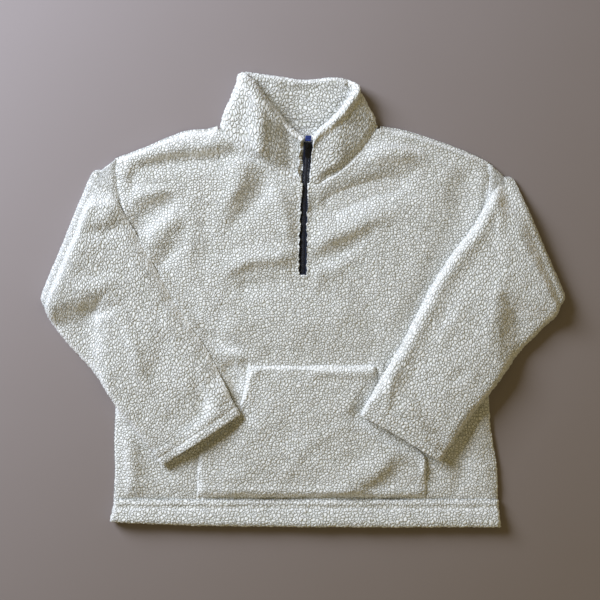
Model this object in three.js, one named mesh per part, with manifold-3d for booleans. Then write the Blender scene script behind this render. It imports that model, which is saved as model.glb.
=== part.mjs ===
// Sherpa fleece half-zip pullover laid on its back, sleeves folded over the front.
// Millimetres, +Z up, +Y towards the collar, +X towards the wearer's left sleeve as seen from above.
import * as THREE from 'three';
import { mergeVertices } from 'three/addons/utils/BufferGeometryUtils.js';
import Module from 'manifold-3d';

// Cloth and seams
const cloth = 5; // fleece pile and backing together
const seamGap = 0.3; // kept between neighbouring pieces
const armholeGap = 0.6; // a little more where two curved edges face each other
const edgeRound = 3.5; // soft outer edge of a panel
const seamRound = 2; // pinch where a panel is sewn to its neighbour
const sleeveSlit = 1.8; // space left inside a flattened sleeve
const foldGap = 0.4; // between a sleeve and itself where it is folded back
const frontUnder = cloth + seamGap;
const frontTop = frontUnder + cloth;
const sleeveHalf = cloth + sleeveSlit / 2;

// Heights up the body, along Y
const hemSeamY = -288;
const zipBottomY = 34;
const frontNeckY = 164;
const backNeckY = 242;
const rimFrontY = 235;

// Collar, a doubled band of fleece
const collarWall = 9.5;
const neckRoll = 3.5; // extra roll inside the back of the neck

// Zip
const coilHalfWidth = 2.6;
const coilHalfHeight = 1;
const tapeThick = 1;
const zipSink = 1; // tape and coil lie this far below the middle of the cloth

const smooth = (x, from, to) => THREE.MathUtils.smoothstep(x, from, to);
const mix = THREE.MathUtils.lerp;
const vec = (x, y, z = 0) => new THREE.Vector3(x, y, z);
const path = (rows) => new THREE.CatmullRomCurve3(rows.map((row) => vec(...row)), false, 'centripetal');
const between = (a, b, t) => [mix(a[0], b[0], t), mix(a[1], b[1], t)];
const steps = (count) => Array.from({ length: count + 1 }, (_, k) => k / count);

// The zip drifts sideways towards the collar, and its slot is widest at both ends
const zipAt = (y) => 0.5 + 8 * Math.max(0, (y - 35) / 200) ** 2;
function slotHalf(y) {
  const lower = mix(6.2, 4.9, smooth(y, 40, 165));
  return mix(lower, 6.4, smooth(y, 175, 225));
}

// Outlines of each side, as points [x, y] from the centre outwards or from the hem upwards
const sides = {
  left: {
    sign: -1,
    flank: [[-273, -288], [-271, -245], [-272, -205], [-270, -150], [-266, -60], [-263, 21]],
    armhole: { top: [-270, 204], bottom: [-263, 21], bow: 5 },
    shoulder: [[-122, 250], [-140, 246], [-165, 244.5], [-188, 237], [-236, 217], [-270, 204]],
    foldLine: { top: [-291, 188], bottom: [-372, -8] },
    // overarm and underarm edges of the folded sleeve, from the fold to the cuff seam
    sleeve: [
      { over: [-266, 143], under: [-361, -33] },
      { over: [-241, 99], under: [-339, -62] },
      { over: [-216, 54], under: [-313, -91] },
      { over: [-190, 9], under: [-287, -122] },
      { over: [-163, -34], under: [-264, -158] },
      { over: [-140, -67], under: [-243, -184] },
      { over: [-117, -109], under: [-224, -208] },
      { over: [-101, -142], under: [-214, -219] },
    ],
    cuffEnd: { over: [-88, -164], under: [-202, -238] },
  },
  right: {
    sign: 1,
    flank: [[282, -288], [281, -243], [276, -208], [271, -177], [268, -60], [264, 21]],
    armhole: { top: [270, 198], bottom: [264, 21], bow: -5 },
    shoulder: [[112, 250], [126, 249], [152, 244], [178, 236], [230, 217], [270, 198]],
    foldLine: { top: [292, 178], bottom: [371, -7] },
    sleeve: [
      { over: [270, 150], under: [365, -23] },
      { over: [245, 107], under: [342, -46] },
      { over: [214, 66], under: [315, -74] },
      { over: [186, 23], under: [292, -104] },
      { over: [163, -22], under: [269, -133] },
      { over: [140, -65], under: [244, -163] },
      { over: [117, -103], under: [226, -189] },
      { over: [94, -142], under: [211, -210] },
    ],
    cuffEnd: { over: [82, -163], under: [199, -231] },
  },
};

// The collar as rows round the neck: middle of its wall at the neck seam and at the rim
const collarRows = [
  { seam: [-1.5, 165, 7.8], rim: [1.6, 235, 21] },
  { seam: [-12, 169, 7.8], rim: [-8, 242, 21] },
  { seam: [-30, 178, 7.8], rim: [-20, 253, 21] },
  { seam: [-58, 194, 7.8], rim: [-42, 279, 25] },
  { seam: [-81, 210, 7.8], rim: [-59, 300, 31] },
  { seam: [-98, 224, 7.8], rim: [-70, 315, 31] },
  { seam: [-111, 239, 8.2], rim: [-79, 323, 24] },
  { seam: [-117, 250, 5.2], rim: [-82, 326, 14] },
  { seam: [-108, 251, 3], rim: [-72, 328, 6] },
  { seam: [-80, 250, 2.5], rim: [-52, 326, 4.8] },
  { seam: [-40, 248, 2.5], rim: [-26, 322, 4.8] },
  { seam: [-5, 247, 2.5], rim: [0, 319, 4.8] },
  { seam: [36, 248, 2.5], rim: [30, 321, 4.8] },
  { seam: [72, 250, 2.5], rim: [50, 321, 5] },
  { seam: [98, 251, 3], rim: [64, 316, 7] },
  { seam: [107, 250, 5.2], rim: [71, 308, 15] },
  { seam: [101, 240, 8.2], rim: [70, 298, 24] },
  { seam: [90, 222, 7.8], rim: [64, 289, 31] },
  { seam: [75, 204, 7.8], rim: [54, 274, 30] },
  { seam: [56, 188, 7.8], rim: [38, 258, 25] },
  { seam: [34, 175, 7.8], rim: [24, 247, 21] },
  { seam: [20, 168, 7.8], rim: [18, 240, 20] },
  { seam: [9.3, 165, 7.8], rim: [15.4, 236, 20] },
];
const lastLeftFront = 7 / 22; // share of the way round where the left fold stands
const firstRightFront = 15 / 22;

// Soft folds of the front: [x, y] to [x, y], half width, and height, negative for a trough
const frontFolds = [
  { from: [-244, 196], to: [-120, 215], width: 22, height: -2 },
  { from: [-80, 170], to: [-139, 107], width: 24, height: -2.2 },
  { from: [-50, 178], to: [-110, 150], width: 20, height: 1.6 },
  { from: [-5, 59], to: [-90, 33], width: 15, height: -2.2 },
  { from: [-12, 82], to: [-90, 58], width: 16, height: 2 },
  { from: [-250, 121], to: [-164, 139], width: 14, height: -2.2 },
  { from: [-240, 87], to: [-180, 108], width: 13, height: 2 },
  { from: [-216, 62], to: [-164, 83], width: 13, height: -2.2 },
  { from: [22, 150], to: [138, 194], width: 18, height: -2.2 },
  { from: [60, 130], to: [190, 165], width: 26, height: 2 },
  { from: [28, 94], to: [84, 112], width: 11, height: 2 },
  { from: [26, 72], to: [78, 92], width: 11, height: -2 },
];
const pocketFolds = [
  { from: [44, -262], to: [118, -212], width: 10, height: 2.4 },
  { from: [74, -264], to: [134, -232], width: 10, height: -2 },
  { from: [-120, -250], to: [-60, -266], width: 16, height: 1.4 },
];
const baseLift = 2.4; // the front stands this far off the back where nothing presses on it

// Pocket corners, anticlockwise from the lower left, and how far each hand opening curves in
const pocketOutline = [
  [-153, -284], [178, -284], [178, -226], [106, -94], [-79, -94], [-150, -220],
];
const openingBow = 20;

// Height of a soft fold at a point: a bell across the line, faded towards both ends
function foldHeight(folds, x, y) {
  let sum = 0;
  for (const { from, to, width, height } of folds) {
    const along = [to[0] - from[0], to[1] - from[1]];
    const length = Math.hypot(...along);
    const t = ((x - from[0]) * along[0] + (y - from[1]) * along[1]) / length ** 2;
    const off = ((x - from[0]) * along[1] - (y - from[1]) * along[0]) / length;
    const fade = smooth(t, -0.25, 0.3) * (1 - smooth(t, 0.7, 1.25));
    sum += height * fade * Math.exp(-((off / width) ** 2));
  }
  return sum;
}

// Distance outside a convex anticlockwise outline, negative inside
function outside(outline, x, y) {
  return Math.max(...outline.map((a, k) => {
    const b = outline[(k + 1) % outline.length];
    const length = Math.hypot(b[0] - a[0], b[1] - a[1]);
    return ((b[1] - a[1]) * (x - a[0]) - (b[0] - a[0]) * (y - a[1])) / length;
  }));
}

// Distance inside the folded sleeve's overarm edge, negative over the open chest
function underSleeve(side, x, y) {
  const rows = [side.foldLine.top, ...side.sleeve.map((row) => row.over), side.cuffEnd.over];
  let nearest = Infinity;
  let depth = 0;
  for (let k = 0; k + 1 < rows.length; k += 1) {
    const [a, b] = [rows[k], rows[k + 1]];
    const [dx, dy] = [b[0] - a[0], b[1] - a[1]];
    const t = THREE.MathUtils.clamp(((x - a[0]) * dx + (y - a[1]) * dy) / (dx * dx + dy * dy), 0, 1);
    const away = Math.hypot(x - a[0] - t * dx, y - a[1] - t * dy);
    if (away < nearest) {
      nearest = away;
      depth = side.sign * (dx * (y - a[1]) - dy * (x - a[0])) > 0 ? away : -away;
    }
  }
  return depth;
}

// How freely the front may stand up: nothing under the sleeves, the pocket and along the seams
function frontFree(x, y) {
  const clearLeft = smooth(-underSleeve(sides.left, x, y), 14, 46);
  const clearRight = smooth(-underSleeve(sides.right, x, y), 14, 46);
  const clearPocket = smooth(outside(pocketOutline, x, y), 12, 44);
  const clearZip = smooth(Math.abs(x - zipAt(y)) + Math.max(0, 20 - y), 4, 30);
  return clearLeft * clearRight * clearPocket * clearZip;
}

function frontLift(x, y, seamFade) {
  const lift = baseLift + foldHeight(frontFolds, x, y);
  return Math.max(0, lift) * frontFree(x, y) * seamFade;
}

// What a folded sleeve lies on: its own upper half and the body, sloping to the surface past their edges
function restHeight(side, x, y) {
  const out = x * side.sign;
  const flank = Math.abs(side.flank[3][0]) + 6;
  const { top, bottom } = side.foldLine;
  const stubEdge = [[side.armhole.bottom[0], side.armhole.bottom[1]], bottom];
  const slope = (stubEdge[1][1] - stubEdge[0][1]) / (stubEdge[1][0] - stubEdge[0][0]);
  const below = stubEdge[0][1] + slope * (x - stubEdge[0][0]) - y - 2;
  const pastEdge = Math.min(out - flank, below);
  const stubTop = 2 * sleeveHalf + foldGap;
  const bodyTop = frontTop + 0.4;
  const nearFold = smooth(out, flank - 75, Math.abs(top[0]) - 20);
  const level = mix(bodyTop, stubTop, nearFold);
  const pocketRise = (cloth + 1.2) * (1 - smooth(outside(pocketOutline, x, y), 8, 34));
  return level * (1 - smooth(pastEdge, 0, 36)) + pocketRise;
}

// A named mesh from points and triangles, turned so that its faces point outwards
function solid(name, points, faces, material) {
  let volume = 0;
  for (const [a, b, c] of faces) {
    volume += points[a].dot(new THREE.Vector3().crossVectors(points[b], points[c]));
  }
  const order = volume > 0 ? faces : faces.map(([a, b, c]) => [a, c, b]);
  const geometry = new THREE.BufferGeometry();
  const numbers = points.flatMap((p) => p.toArray());
  geometry.setAttribute('position', new THREE.Float32BufferAttribute(numbers, 3));
  geometry.setIndex(order.flat());
  const mesh = new THREE.Mesh(geometry, material);
  mesh.name = name;
  return mesh;
}

// A slab of cloth: grids of points for its upper and under faces, walls along every open edge.
// A cell that isOpen names is left out, as the slot of the zip is.
function slab(name, upper, under, material, isOpen = () => false) {
  const rows = upper.length;
  const columns = upper[0].length;
  const points = [];
  const index = [upper, under].map((grid) => grid.map((row) => row.map(() => -1)));
  const at = (layer, j, i) => {
    if (index[layer][j][i] < 0) {
      index[layer][j][i] = points.push([upper, under][layer][j][i]) - 1;
    }
    return index[layer][j][i];
  };
  const filled = (j, i) => j >= 0 && i >= 0 && j < rows - 1 && i < columns - 1 && !isOpen(j, i);
  const faces = [];
  const quad = (a, b, c, d) => faces.push([a, b, c], [a, c, d]);
  for (let j = 0; j < rows - 1; j += 1) {
    for (let i = 0; i < columns - 1; i += 1) {
      if (!filled(j, i)) continue;
      const corners = [[j, i], [j, i + 1], [j + 1, i + 1], [j + 1, i]];
      quad(...corners.map(([b, a]) => at(0, b, a)));
      const [p, q, r, s] = corners.map(([b, a]) => at(1, b, a));
      faces.push([p, r, q], [p, s, r]);
      const neighbours = [[j - 1, i], [j, i + 1], [j + 1, i], [j, i - 1]];
      neighbours.forEach(([nj, ni], k) => {
        if (filled(nj, ni)) return;
        const [from, to] = [corners[k], corners[(k + 1) % 4]];
        quad(at(0, ...to), at(0, ...from), at(1, ...from), at(1, ...to));
      });
    }
  }
  return solid(name, points, faces, material);
}

// A tube from matching outer and inner rings, open at both ends
function tube(name, outerRings, innerRings, material) {
  const count = outerRings[0].length;
  const points = [...outerRings.flat(), ...innerRings.flat()];
  const shift = outerRings.flat().length;
  const faces = [];
  const quad = (a, b, c, d) => faces.push([a, b, c], [a, c, d]);
  for (let i = 0; i < count; i += 1) {
    const n = (i + 1) % count;
    for (let k = 0; k + 1 < outerRings.length; k += 1) {
      const [a, b] = [k * count, (k + 1) * count];
      quad(a + i, a + n, b + n, b + i);
      quad(shift + a + i, shift + b + i, shift + b + n, shift + a + n);
    }
    const end = (outerRings.length - 1) * count;
    quad(n, i, shift + i, shift + n);
    quad(end + i, end + n, shift + end + n, shift + end + i);
  }
  return solid(name, points, faces, material);
}

// Drop of a rounded edge at a distance from it
function edgeDrop(distance, radius) {
  if (distance >= radius) return 0;
  return radius * (1 - Math.sqrt(1 - (1 - distance / radius) ** 2));
}

const fleece = new THREE.MeshStandardMaterial({ color: 0xd9dbd6, roughness: 1, metalness: 0 });
const tapeCloth = new THREE.MeshStandardMaterial({ color: 0x1d2230, roughness: 0.85, metalness: 0 });
const blueTape = new THREE.MeshStandardMaterial({ color: 0x27357a, roughness: 0.8, metalness: 0 });
const coilPlastic = new THREE.MeshStandardMaterial({ color: 0x171b26, roughness: 0.5, metalness: 0 });
const blackMetal = new THREE.MeshStandardMaterial({ color: 0x121317, roughness: 0.4, metalness: 0.6 });

// Body panels are one mapping: `across` runs from the zip (0) to the flank (1) on each side,
// `up` from the hem seam (0) to the neck and shoulder (1)
const neckShare = 0.42; // part of `across` that ends at the neck point
const armholeShare = 0.62; // part of `up` that ends at the underarm
const neckClear = 1; // the collar leans over the seam by about this much

const collarSeam = path(collarRows.map((row) => row.seam));
const collarRim = path(collarRows.map((row) => row.rim));

const slotEdge = (side, y) => zipAt(y) + side.sign * slotHalf(y);

function topEdge(side, across, isFront) {
  if (across > neckShare) {
    return path(side.shoulder).getPoint((across - neckShare) / (1 - neckShare));
  }
  const t = across / neckShare;
  const end = side.shoulder[0];
  if (!isFront) {
    return vec(mix(0, end[0], t), backNeckY);
  }
  // the front's neck edge runs beside the collar's seam, just clear of it
  const seat = side.sign < 0 ? t * lastLeftFront : 1 - t * (1 - firstRightFront);
  const point = collarSeam.getPoint(seat);
  const ahead = collarSeam.getTangent(seat);
  const edge = vec(point.x, point.y).add(vec(-ahead.y, ahead.x).normalize().multiplyScalar(neckClear));
  edge.x = mix(slotEdge(side, frontNeckY), edge.x, Math.min(1, t * 12));
  return edge.lerp(vec(end[0], end[1] - 4.5), smooth(t, 0.75, 1));
}

function flankEdge(side, up) {
  if (up <= armholeShare) return path(side.flank).getPoint(up / armholeShare);
  return armholePoint(side, (1 - up) / (1 - armholeShare), 0);
}

// A point on the armhole from its top (0) to the underarm (1), moved `out` from the body
function armholePoint(side, t, out) {
  const { top, bottom, bow } = side.armhole;
  const x = mix(top[0], bottom[0], t) + bow * Math.sin(Math.PI * t);
  return vec(x + side.sign * out, mix(top[1], bottom[1], t));
}

function panelPoint(side, across, up, isFront) {
  const low = vec(mix(isFront ? slotEdge(side, hemSeamY) : 0, side.flank[0][0], across), hemSeamY);
  const high = topEdge(side, across, isFront);
  const flank = flankEdge(side, up);
  const straight = flankEdge(side, 0).lerp(flankEdge(side, 1), up);
  const point = low.lerp(high, up).addScaledVector(flank.sub(straight), across ** 2);
  if (isFront) {
    // the innermost columns bend with the zip
    const inner = mix(slotEdge(side, hemSeamY), slotEdge(side, frontNeckY), up);
    point.x += (slotEdge(side, point.y) - inner) * Math.max(0, 1 - across / 0.2);
  }
  return point;
}

function panelGrid(acrossList, upList, isFront) {
  const columns = [
    ...acrossList.map((across) => ({ side: sides.left, across })).reverse(),
    ...acrossList.map((across) => ({ side: sides.right, across })),
  ];
  return upList.map((up) => columns.map(({ side, across }) => ({
    place: panelPoint(side, across, up, isFront), across, up,
  })));
}

function backPanel() {
  const across = [0, 0.1, 0.21, 0.32, 0.42, 0.55, 0.7, 0.85, 0.975, 0.993, 1];
  const up = [0, 0.006, 0.12, 0.27, 0.42, 0.56, 0.62, 0.68, 0.75, 0.82, 0.89, 0.95, 0.99, 1];
  const cells = panelGrid(across, up, false);
  const rise = ({ across: a, up: u }) => {
    const flank = edgeDrop((1 - a) * 265, edgeRound);
    const seams = Math.max(edgeDrop(u * 500, seamRound), edgeDrop((1 - u) * 500, seamRound));
    return Math.min(edgeRound, Math.max(flank, seams));
  };
  const upper = cells.map((row) => row.map(({ place }) => vec(place.x, place.y, cloth)));
  const under = cells.map((row) => row.map((cell) => vec(cell.place.x, cell.place.y, rise(cell))));
  return slab('back_panel', upper, under, fleece);
}

function frontPanel() {
  const across = [0, 0.006, 0.05, 0.11, 0.18, 0.25, 0.32, 0.38, 0.42, 0.48, 0.55, 0.62, 0.7, 0.79,
    0.88, 0.96, 0.993, 1];
  const slotRow = (zipBottomY - hemSeamY) / (frontNeckY - hemSeamY);
  const up = [0, 0.006, 0.12, 0.27, 0.4, 0.46, 0.51, 0.56, 0.62, 0.67, slotRow, 0.75, 0.79, 0.83, 0.87,
    0.91, 0.95, 0.98, 0.995, 1];
  const cells = panelGrid(across, up, true);
  const drop = ({ across: a, up: u, place }) => {
    const flank = edgeDrop((1 - a) * 265, edgeRound);
    const seams = Math.max(edgeDrop(u * 450, seamRound), edgeDrop((1 - u) * 450, seamRound));
    const slot = u >= slotRow ? edgeDrop(a * 265, seamRound) : 0;
    return place.z + Math.max(flank, seams, slot);
  };
  const fade = (u, a) => smooth(u, 0, 0.06) * (1 - smooth(u, 0.93, 0.995)) * (1 - smooth(a, 0.9, 1));
  const lift = ({ place, across: a, up: u }) => frontLift(place.x, place.y, fade(u, a));
  const upper = cells.map((row) => row.map((cell) => {
    return vec(cell.place.x, cell.place.y, frontTop + lift(cell) - drop(cell));
  }));
  const under = cells.map((row) => row.map((cell) => {
    return vec(cell.place.x, cell.place.y, frontUnder + 0.6 * lift(cell));
  }));
  const slotColumn = across.length - 1;
  const isOpen = (j, i) => i === slotColumn && up[j] >= slotRow - 1e-9;
  return slab('front_panel', upper, under, fleece, isOpen);
}

// Patch pocket, an open-sided pouch lying on the front
function pocket() {
  const across = [0, 0.006, 0.016, 0.034, 0.1, 0.2, 0.32, 0.44, 0.56, 0.68, 0.8, 0.9, 0.966, 0.984,
    0.994, 1];
  const up = [0, 0.012, 0.05, 0.12, 0.22, 0.32, 0.45, 0.6, 0.75, 0.88, 0.94, 0.97, 0.99, 1];
  const [lowLeft, lowRight, midRight, highRight, highLeft, midLeft] = pocketOutline;
  const bend = (midLeft[1] - lowLeft[1]) / (highLeft[1] - lowLeft[1]);
  const edgeAt = (low, mid, high, t) => {
    if (t < bend) return vec(...low).lerp(vec(...mid), t / bend);
    const climb = (t - bend) / (1 - bend);
    const point = vec(...mid).lerp(vec(...high), climb);
    point.x += Math.sign(high[0] - mid[0]) * openingBow * Math.sin(Math.PI * climb);
    return point;
  };
  const cells = up.map((u) => across.map((a) => {
    const left = edgeAt(lowLeft, midLeft, highLeft, u);
    const right = edgeAt(lowRight, midRight, highRight, u);
    const place = left.lerp(right, a);
    const side = Math.min(a, 1 - a) * mix(331, 185, smooth(u, bend, 1));
    const end = Math.min(u, 1 - u) * 190;
    return { place, edge: Math.min(side, end), turned: Math.min(side, (1 - u) * 190), u };
  }));
  const height = ({ place, edge, turned, u }) => {
    const band = 0.9 * (1 - smooth(turned, 9, 12)) * smooth(u, 0.1, 0.2);
    const folds = foldHeight(pocketFolds, place.x, place.y) * smooth(edge, 4, 24);
    const shown = smooth(-underSleeve(sides.left, place.x, place.y), 4, 24)
      * smooth(-underSleeve(sides.right, place.x, place.y), 4, 24);
    return band * shown + (1.4 * smooth(edge, 10, 50) + folds) * shown;
  };
  const base = frontTop + seamGap;
  const upper = cells.map((row) => row.map((cell) => {
    const z = base + cloth + height(cell) - edgeDrop(cell.edge, seamRound);
    return vec(cell.place.x, cell.place.y, z);
  }));
  const under = cells.map((row) => row.map(({ place }) => vec(place.x, place.y, base)));
  return slab('pocket', upper, under, fleece);
}

// Section of a flattened tube: places along its width and offsets across it
function flatSection(width, half, wall, flats) {
  const turns = steps(4).map((t) => Math.PI * (0.5 + t));
  const flatPlaces = steps(flats).slice(1, -1);
  const rows = [];
  turns.forEach((turn) => rows.push([half + half * Math.cos(turn), half * Math.sin(turn), turn]));
  flatPlaces.forEach((t) => rows.push([mix(half, width - half, t), -half, -Math.PI / 2]));
  turns.forEach((turn) => {
    rows.push([width - half - half * Math.cos(turn), -half * Math.sin(turn), turn + Math.PI]);
  });
  flatPlaces.forEach((t) => rows.push([mix(width - half, half, t), half, Math.PI / 2]));
  // the inner wall is the same section moved in by the wall's thickness
  return rows.map(([along, offset, turn]) => ({
    outer: [along, offset],
    inner: [along - wall * Math.cos(turn), offset - wall * Math.sin(turn)],
  }));
}

// Rings of a flattened tube. Each frame places a point from its distance along the ring's width
function flatRings(frames, half, wall, flats) {
  const outer = [];
  const inner = [];
  for (const { width, place, normal } of frames) {
    const section = flatSection(width, half, wall, flats);
    const lay = ([along, offset]) => place(along / width, along).addScaledVector(normal, offset);
    outer.push(section.map((row) => lay(row.outer)));
    inner.push(section.map((row) => lay(row.inner)));
  }
  return { outer, inner };
}

// A ring of the folded part of a sleeve, laid on what is under it
function restingFrame(side, over, under, half) {
  const [a, b] = [vec(...over), vec(...under)];
  const place = (t) => {
    const point = a.clone().lerp(b, t);
    point.z = restHeight(side, point.x, point.y) + half;
    return point;
  };
  return { width: a.distanceTo(b), place, normal: vec(0, 0, -1) };
}

function sleeve(name, side) {
  const axisTop = vec(...side.foldLine.top);
  const axisBottom = vec(...side.foldLine.bottom);
  const width = axisTop.distanceTo(axisBottom);
  const outward = vec(axisTop.y - axisBottom.y, axisBottom.x - axisTop.x).normalize();
  if (outward.x * side.sign < 0) outward.negate();
  const frames = [];
  // from the armhole to the fold, lying on the surface
  for (const t of [0, 0.33, 0.67]) {
    const place = (s) => {
      const start = armholePoint(side, s, armholeGap);
      const end = axisTop.clone().lerp(axisBottom, s);
      return start.lerp(end, t).setZ(sleeveHalf);
    };
    const start = armholePoint(side, 0, 0).distanceTo(armholePoint(side, 1, 0));
    frames.push({ width: mix(start, width, t), place, normal: vec(0, 0, 1) });
  }
  // round the fold, a half turn about its line
  const radius = sleeveHalf + foldGap / 2;
  for (const t of steps(5)) {
    const turn = Math.PI * t;
    const offset = outward.clone().multiplyScalar(radius * Math.sin(turn));
    const height = sleeveHalf + radius * (1 - Math.cos(turn));
    const place = (s) => axisTop.clone().lerp(axisBottom, s).add(offset).setZ(height);
    const normal = outward.clone().multiplyScalar(-Math.sin(turn)).setZ(Math.cos(turn));
    frames.push({ width, place, normal });
  }
  // back over the front, down to the cuff
  let last = { over: side.foldLine.top, under: side.foldLine.bottom };
  for (const row of side.sleeve) {
    for (const t of [0.5, 1]) {
      const over = between(last.over, row.over, t);
      const under = between(last.under, row.under, t);
      frames.push(restingFrame(side, over, under, sleeveHalf));
    }
    last = row;
  }
  const { outer, inner } = flatRings(frames, sleeveHalf, cloth, 7);
  return tube(name, outer, inner, fleece);
}

// Turned and topstitched end of a sleeve, a little thicker than the sleeve
function cuff(name, side) {
  const start = side.sleeve[side.sleeve.length - 1];
  const half = sleeveHalf + 0.8;
  const frames = [0, 0.08, 0.35, 0.65, 0.92, 1].map((t) => {
    const from = mix(0.02, 1, t);
    const over = between(start.over, side.cuffEnd.over, from);
    const under = between(start.under, side.cuffEnd.under, from);
    return restingFrame(side, over, under, half);
  });
  const { outer, inner } = flatRings(frames, half, cloth + 0.6, 7);
  return tube(name, outer, inner, fleece);
}

// Band sewn round the lower edge, doubled, as a flattened ring
function hemBand() {
  const half = 6.4;
  const left = [[-272, hemSeamY - 0.4], [-274, -300], [-277, -313], [-278, -319]];
  const right = [[283, hemSeamY - 0.4], [284, -301], [285, -315], [286, -327]];
  const frames = [0, 0.06, 0.3, 0.55, 0.8, 0.94, 1].map((t) => {
    const a = path(left).getPoint(t);
    const b = path(right).getPoint(t);
    const place = (s) => {
      const point = a.clone().lerp(b, s);
      point.y -= 6 * t * Math.sin(Math.PI * Math.min(1, 2.2 * s) / 2) * (1 - s);
      return point.setZ(half);
    };
    return { width: a.distanceTo(b), place, normal: vec(0, 0, 1) };
  });
  const { outer, inner } = flatRings(frames, half, half - 0.5, 13);
  return tube('hem_band', outer, inner, fleece);
}

// Middle surface of the collar: round the neck (0 to 1) and up from the seam to the rim (0 to 1)
function collarMiddle(round, up) {
  return collarSeam.getPoint(round).lerp(collarRim.getPoint(round), up);
}

function collarNormal(round, up) {
  const step = 0.004;
  const difference = (a, b) => collarMiddle(...b).sub(collarMiddle(...a));
  const ring = difference([Math.max(0, round - step), up], [Math.min(1, round + step), up]);
  const rise = difference([round, Math.max(0, up - step)], [round, Math.min(1, up + step)]);
  return rise.cross(ring).normalize();
}

function collar() {
  const rounds = [0, 0.004, ...steps(44).slice(1, -1), 0.996, 1];
  const ups = [0, 0.025, 0.12, 0.26, 0.42, 0.58, 0.74, 0.86, 0.93, 0.97, 0.992, 1];
  const behind = (round) => smooth(round, 0.33, 0.42) * (1 - smooth(round, 0.58, 0.67));
  const half = (round, up) => {
    const body = mix(cloth / 2, collarWall / 2, smooth(up, 0, 0.22));
    const rim = Math.sqrt(1 - THREE.MathUtils.clamp((up - 0.93) / 0.07, 0, 0.97) ** 2);
    const ends = Math.min(round, 1 - round);
    return body * rim * (1 - 0.3 * (1 - smooth(ends, 0, 0.01)));
  };
  const face = (direction) => ups.map((up) => rounds.map((round) => {
    const bulge = neckRoll * behind(round) * Math.exp(-(((up - 0.14) / 0.1) ** 2));
    const roll = direction < 0 ? 0 : bulge;
    const inward = direction * half(round, up) + roll;
    const point = collarMiddle(round, up).addScaledVector(collarNormal(round, up), inward);
    return point.setZ(Math.max(0, point.z));
  }));
  return slab('collar', face(1), face(-1), fleece);
}

// Line of the zip: middle of the cloth's thickness, up the front and then up the collar
const collarSlope = Math.atan2(21 - 7.8, rimFrontY - frontNeckY);
function zipLine(y) {
  const z = frontUnder + cloth / 2 + Math.max(0, y - frontNeckY) * Math.tan(collarSlope);
  return vec(zipAt(y), y, z);
}

// A strip along the zip, from a section [x, z] worked out at each place
function zipStrip(name, fromY, toY, section, material) {
  const count = Math.round((toY - fromY) / 8);
  const rings = steps(count).map((t) => {
    const y = mix(fromY, toY, t);
    const centre = zipLine(y);
    return section(y).map(([x, z]) => vec(centre.x + x, centre.y, centre.z + z - zipSink));
  });
  const corners = rings[0].length;
  const points = rings.flat();
  const faces = [];
  for (let k = 0; k < count; k += 1) {
    for (let i = 0; i < corners; i += 1) {
      const n = (i + 1) % corners;
      const [a, b] = [k * corners, (k + 1) * corners];
      faces.push([a + i, a + n, b + n], [a + i, b + n, b + i]);
    }
  }
  for (let i = 1; i + 1 < corners; i += 1) {
    faces.push([0, i + 1, i], [count * corners, count * corners + i, count * corners + i + 1]);
  }
  return solid(name, points, faces, material);
}

// Slider and pull tab, drawn level with the tab's bar on the origin, then turned to the collar's slope
const sliderY = 221; // where the pull tab's bar crosses the zip
const barHeight = 3; // of the bar above the middle of the cloth
const barHalf = 0.55; // half thickness of the bar and the tab
const plateTop = -1.4; // upper face of the slider's upper plate, below the bar
const plateThick = 1.2;
const throat = 2.8; // between the plates, where the coil runs
const sliderAhead = 5; // plates reach this far past the bar towards the rim
const sliderBehind = 6.5;

function zipPieces() {
  const pieces = [];
  const start = zipBottomY + 5;
  const tapeEnd = sliderY + sliderAhead + 0.4;
  const tape = (sign) => (y) => {
    const near = sign * (coilHalfWidth + seamGap);
    const far = sign * (slotHalf(y) - 0.5);
    const half = tapeThick / 2;
    return [[near, -half], [far, -half], [far, half], [near, half]];
  };
  pieces.push(zipStrip('zip_tape_left', start, tapeEnd, tape(-1), tapeCloth));
  pieces.push(zipStrip('zip_tape_right', start, tapeEnd, tape(1), tapeCloth));
  const [w, h] = [coilHalfWidth, coilHalfHeight];
  const coil = [
    [-w, -h / 2], [-w / 2, -h], [w / 2, -h], [w, -h / 2], [w, h / 2], [w / 2, h], [-w / 2, h], [-w, h / 2],
  ];
  pieces.push(zipStrip('zip_coil', start, sliderY + 1, () => coil, coilPlastic));
  const bar = (half, low, high) => () => [[-half, low], [half, low], [half, high], [-half, high]];
  const stopHalf = slotHalf(zipBottomY) - 0.6;
  pieces.push(zipStrip('zip_bottom_stop', zipBottomY + 0.5, start - 0.4, bar(stopHalf, -1.2, 2), tapeCloth));
  const topStart = tapeEnd + 0.4;
  pieces.push(zipStrip('zip_top_end', topStart, rimFrontY - 1, bar(4.4, -1.2, 1.6), blueTape));
  return pieces;
}

const wasm = await Module();
wasm.setup();

function toManifold(geometry) {
  const bare = geometry.clone();
  bare.deleteAttribute('normal');
  bare.deleteAttribute('uv');
  const merged = mergeVertices(bare, 1e-4);
  return new wasm.Manifold(new wasm.Mesh({
    numProp: 3,
    vertProperties: new Float32Array(merged.attributes.position.array),
    triVerts: new Uint32Array(merged.index.array),
  }));
}

function joined(geometries) {
  const whole = geometries.map(toManifold).reduce((sum, next) => sum.add(next)).getMesh();
  const geometry = new THREE.BufferGeometry();
  geometry.setAttribute('position', new THREE.Float32BufferAttribute(whole.vertProperties, 3));
  geometry.setIndex([...whole.triVerts]);
  return geometry;
}

// A flat outline made solid between two heights
function plate(outline, from, to) {
  const shape = new THREE.Shape(outline.map(([x, y]) => new THREE.Vector2(x, y)));
  const geometry = new THREE.ExtrudeGeometry(shape, { depth: to - from, bevelEnabled: false });
  return geometry.translate(0, 0, from);
}

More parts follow.
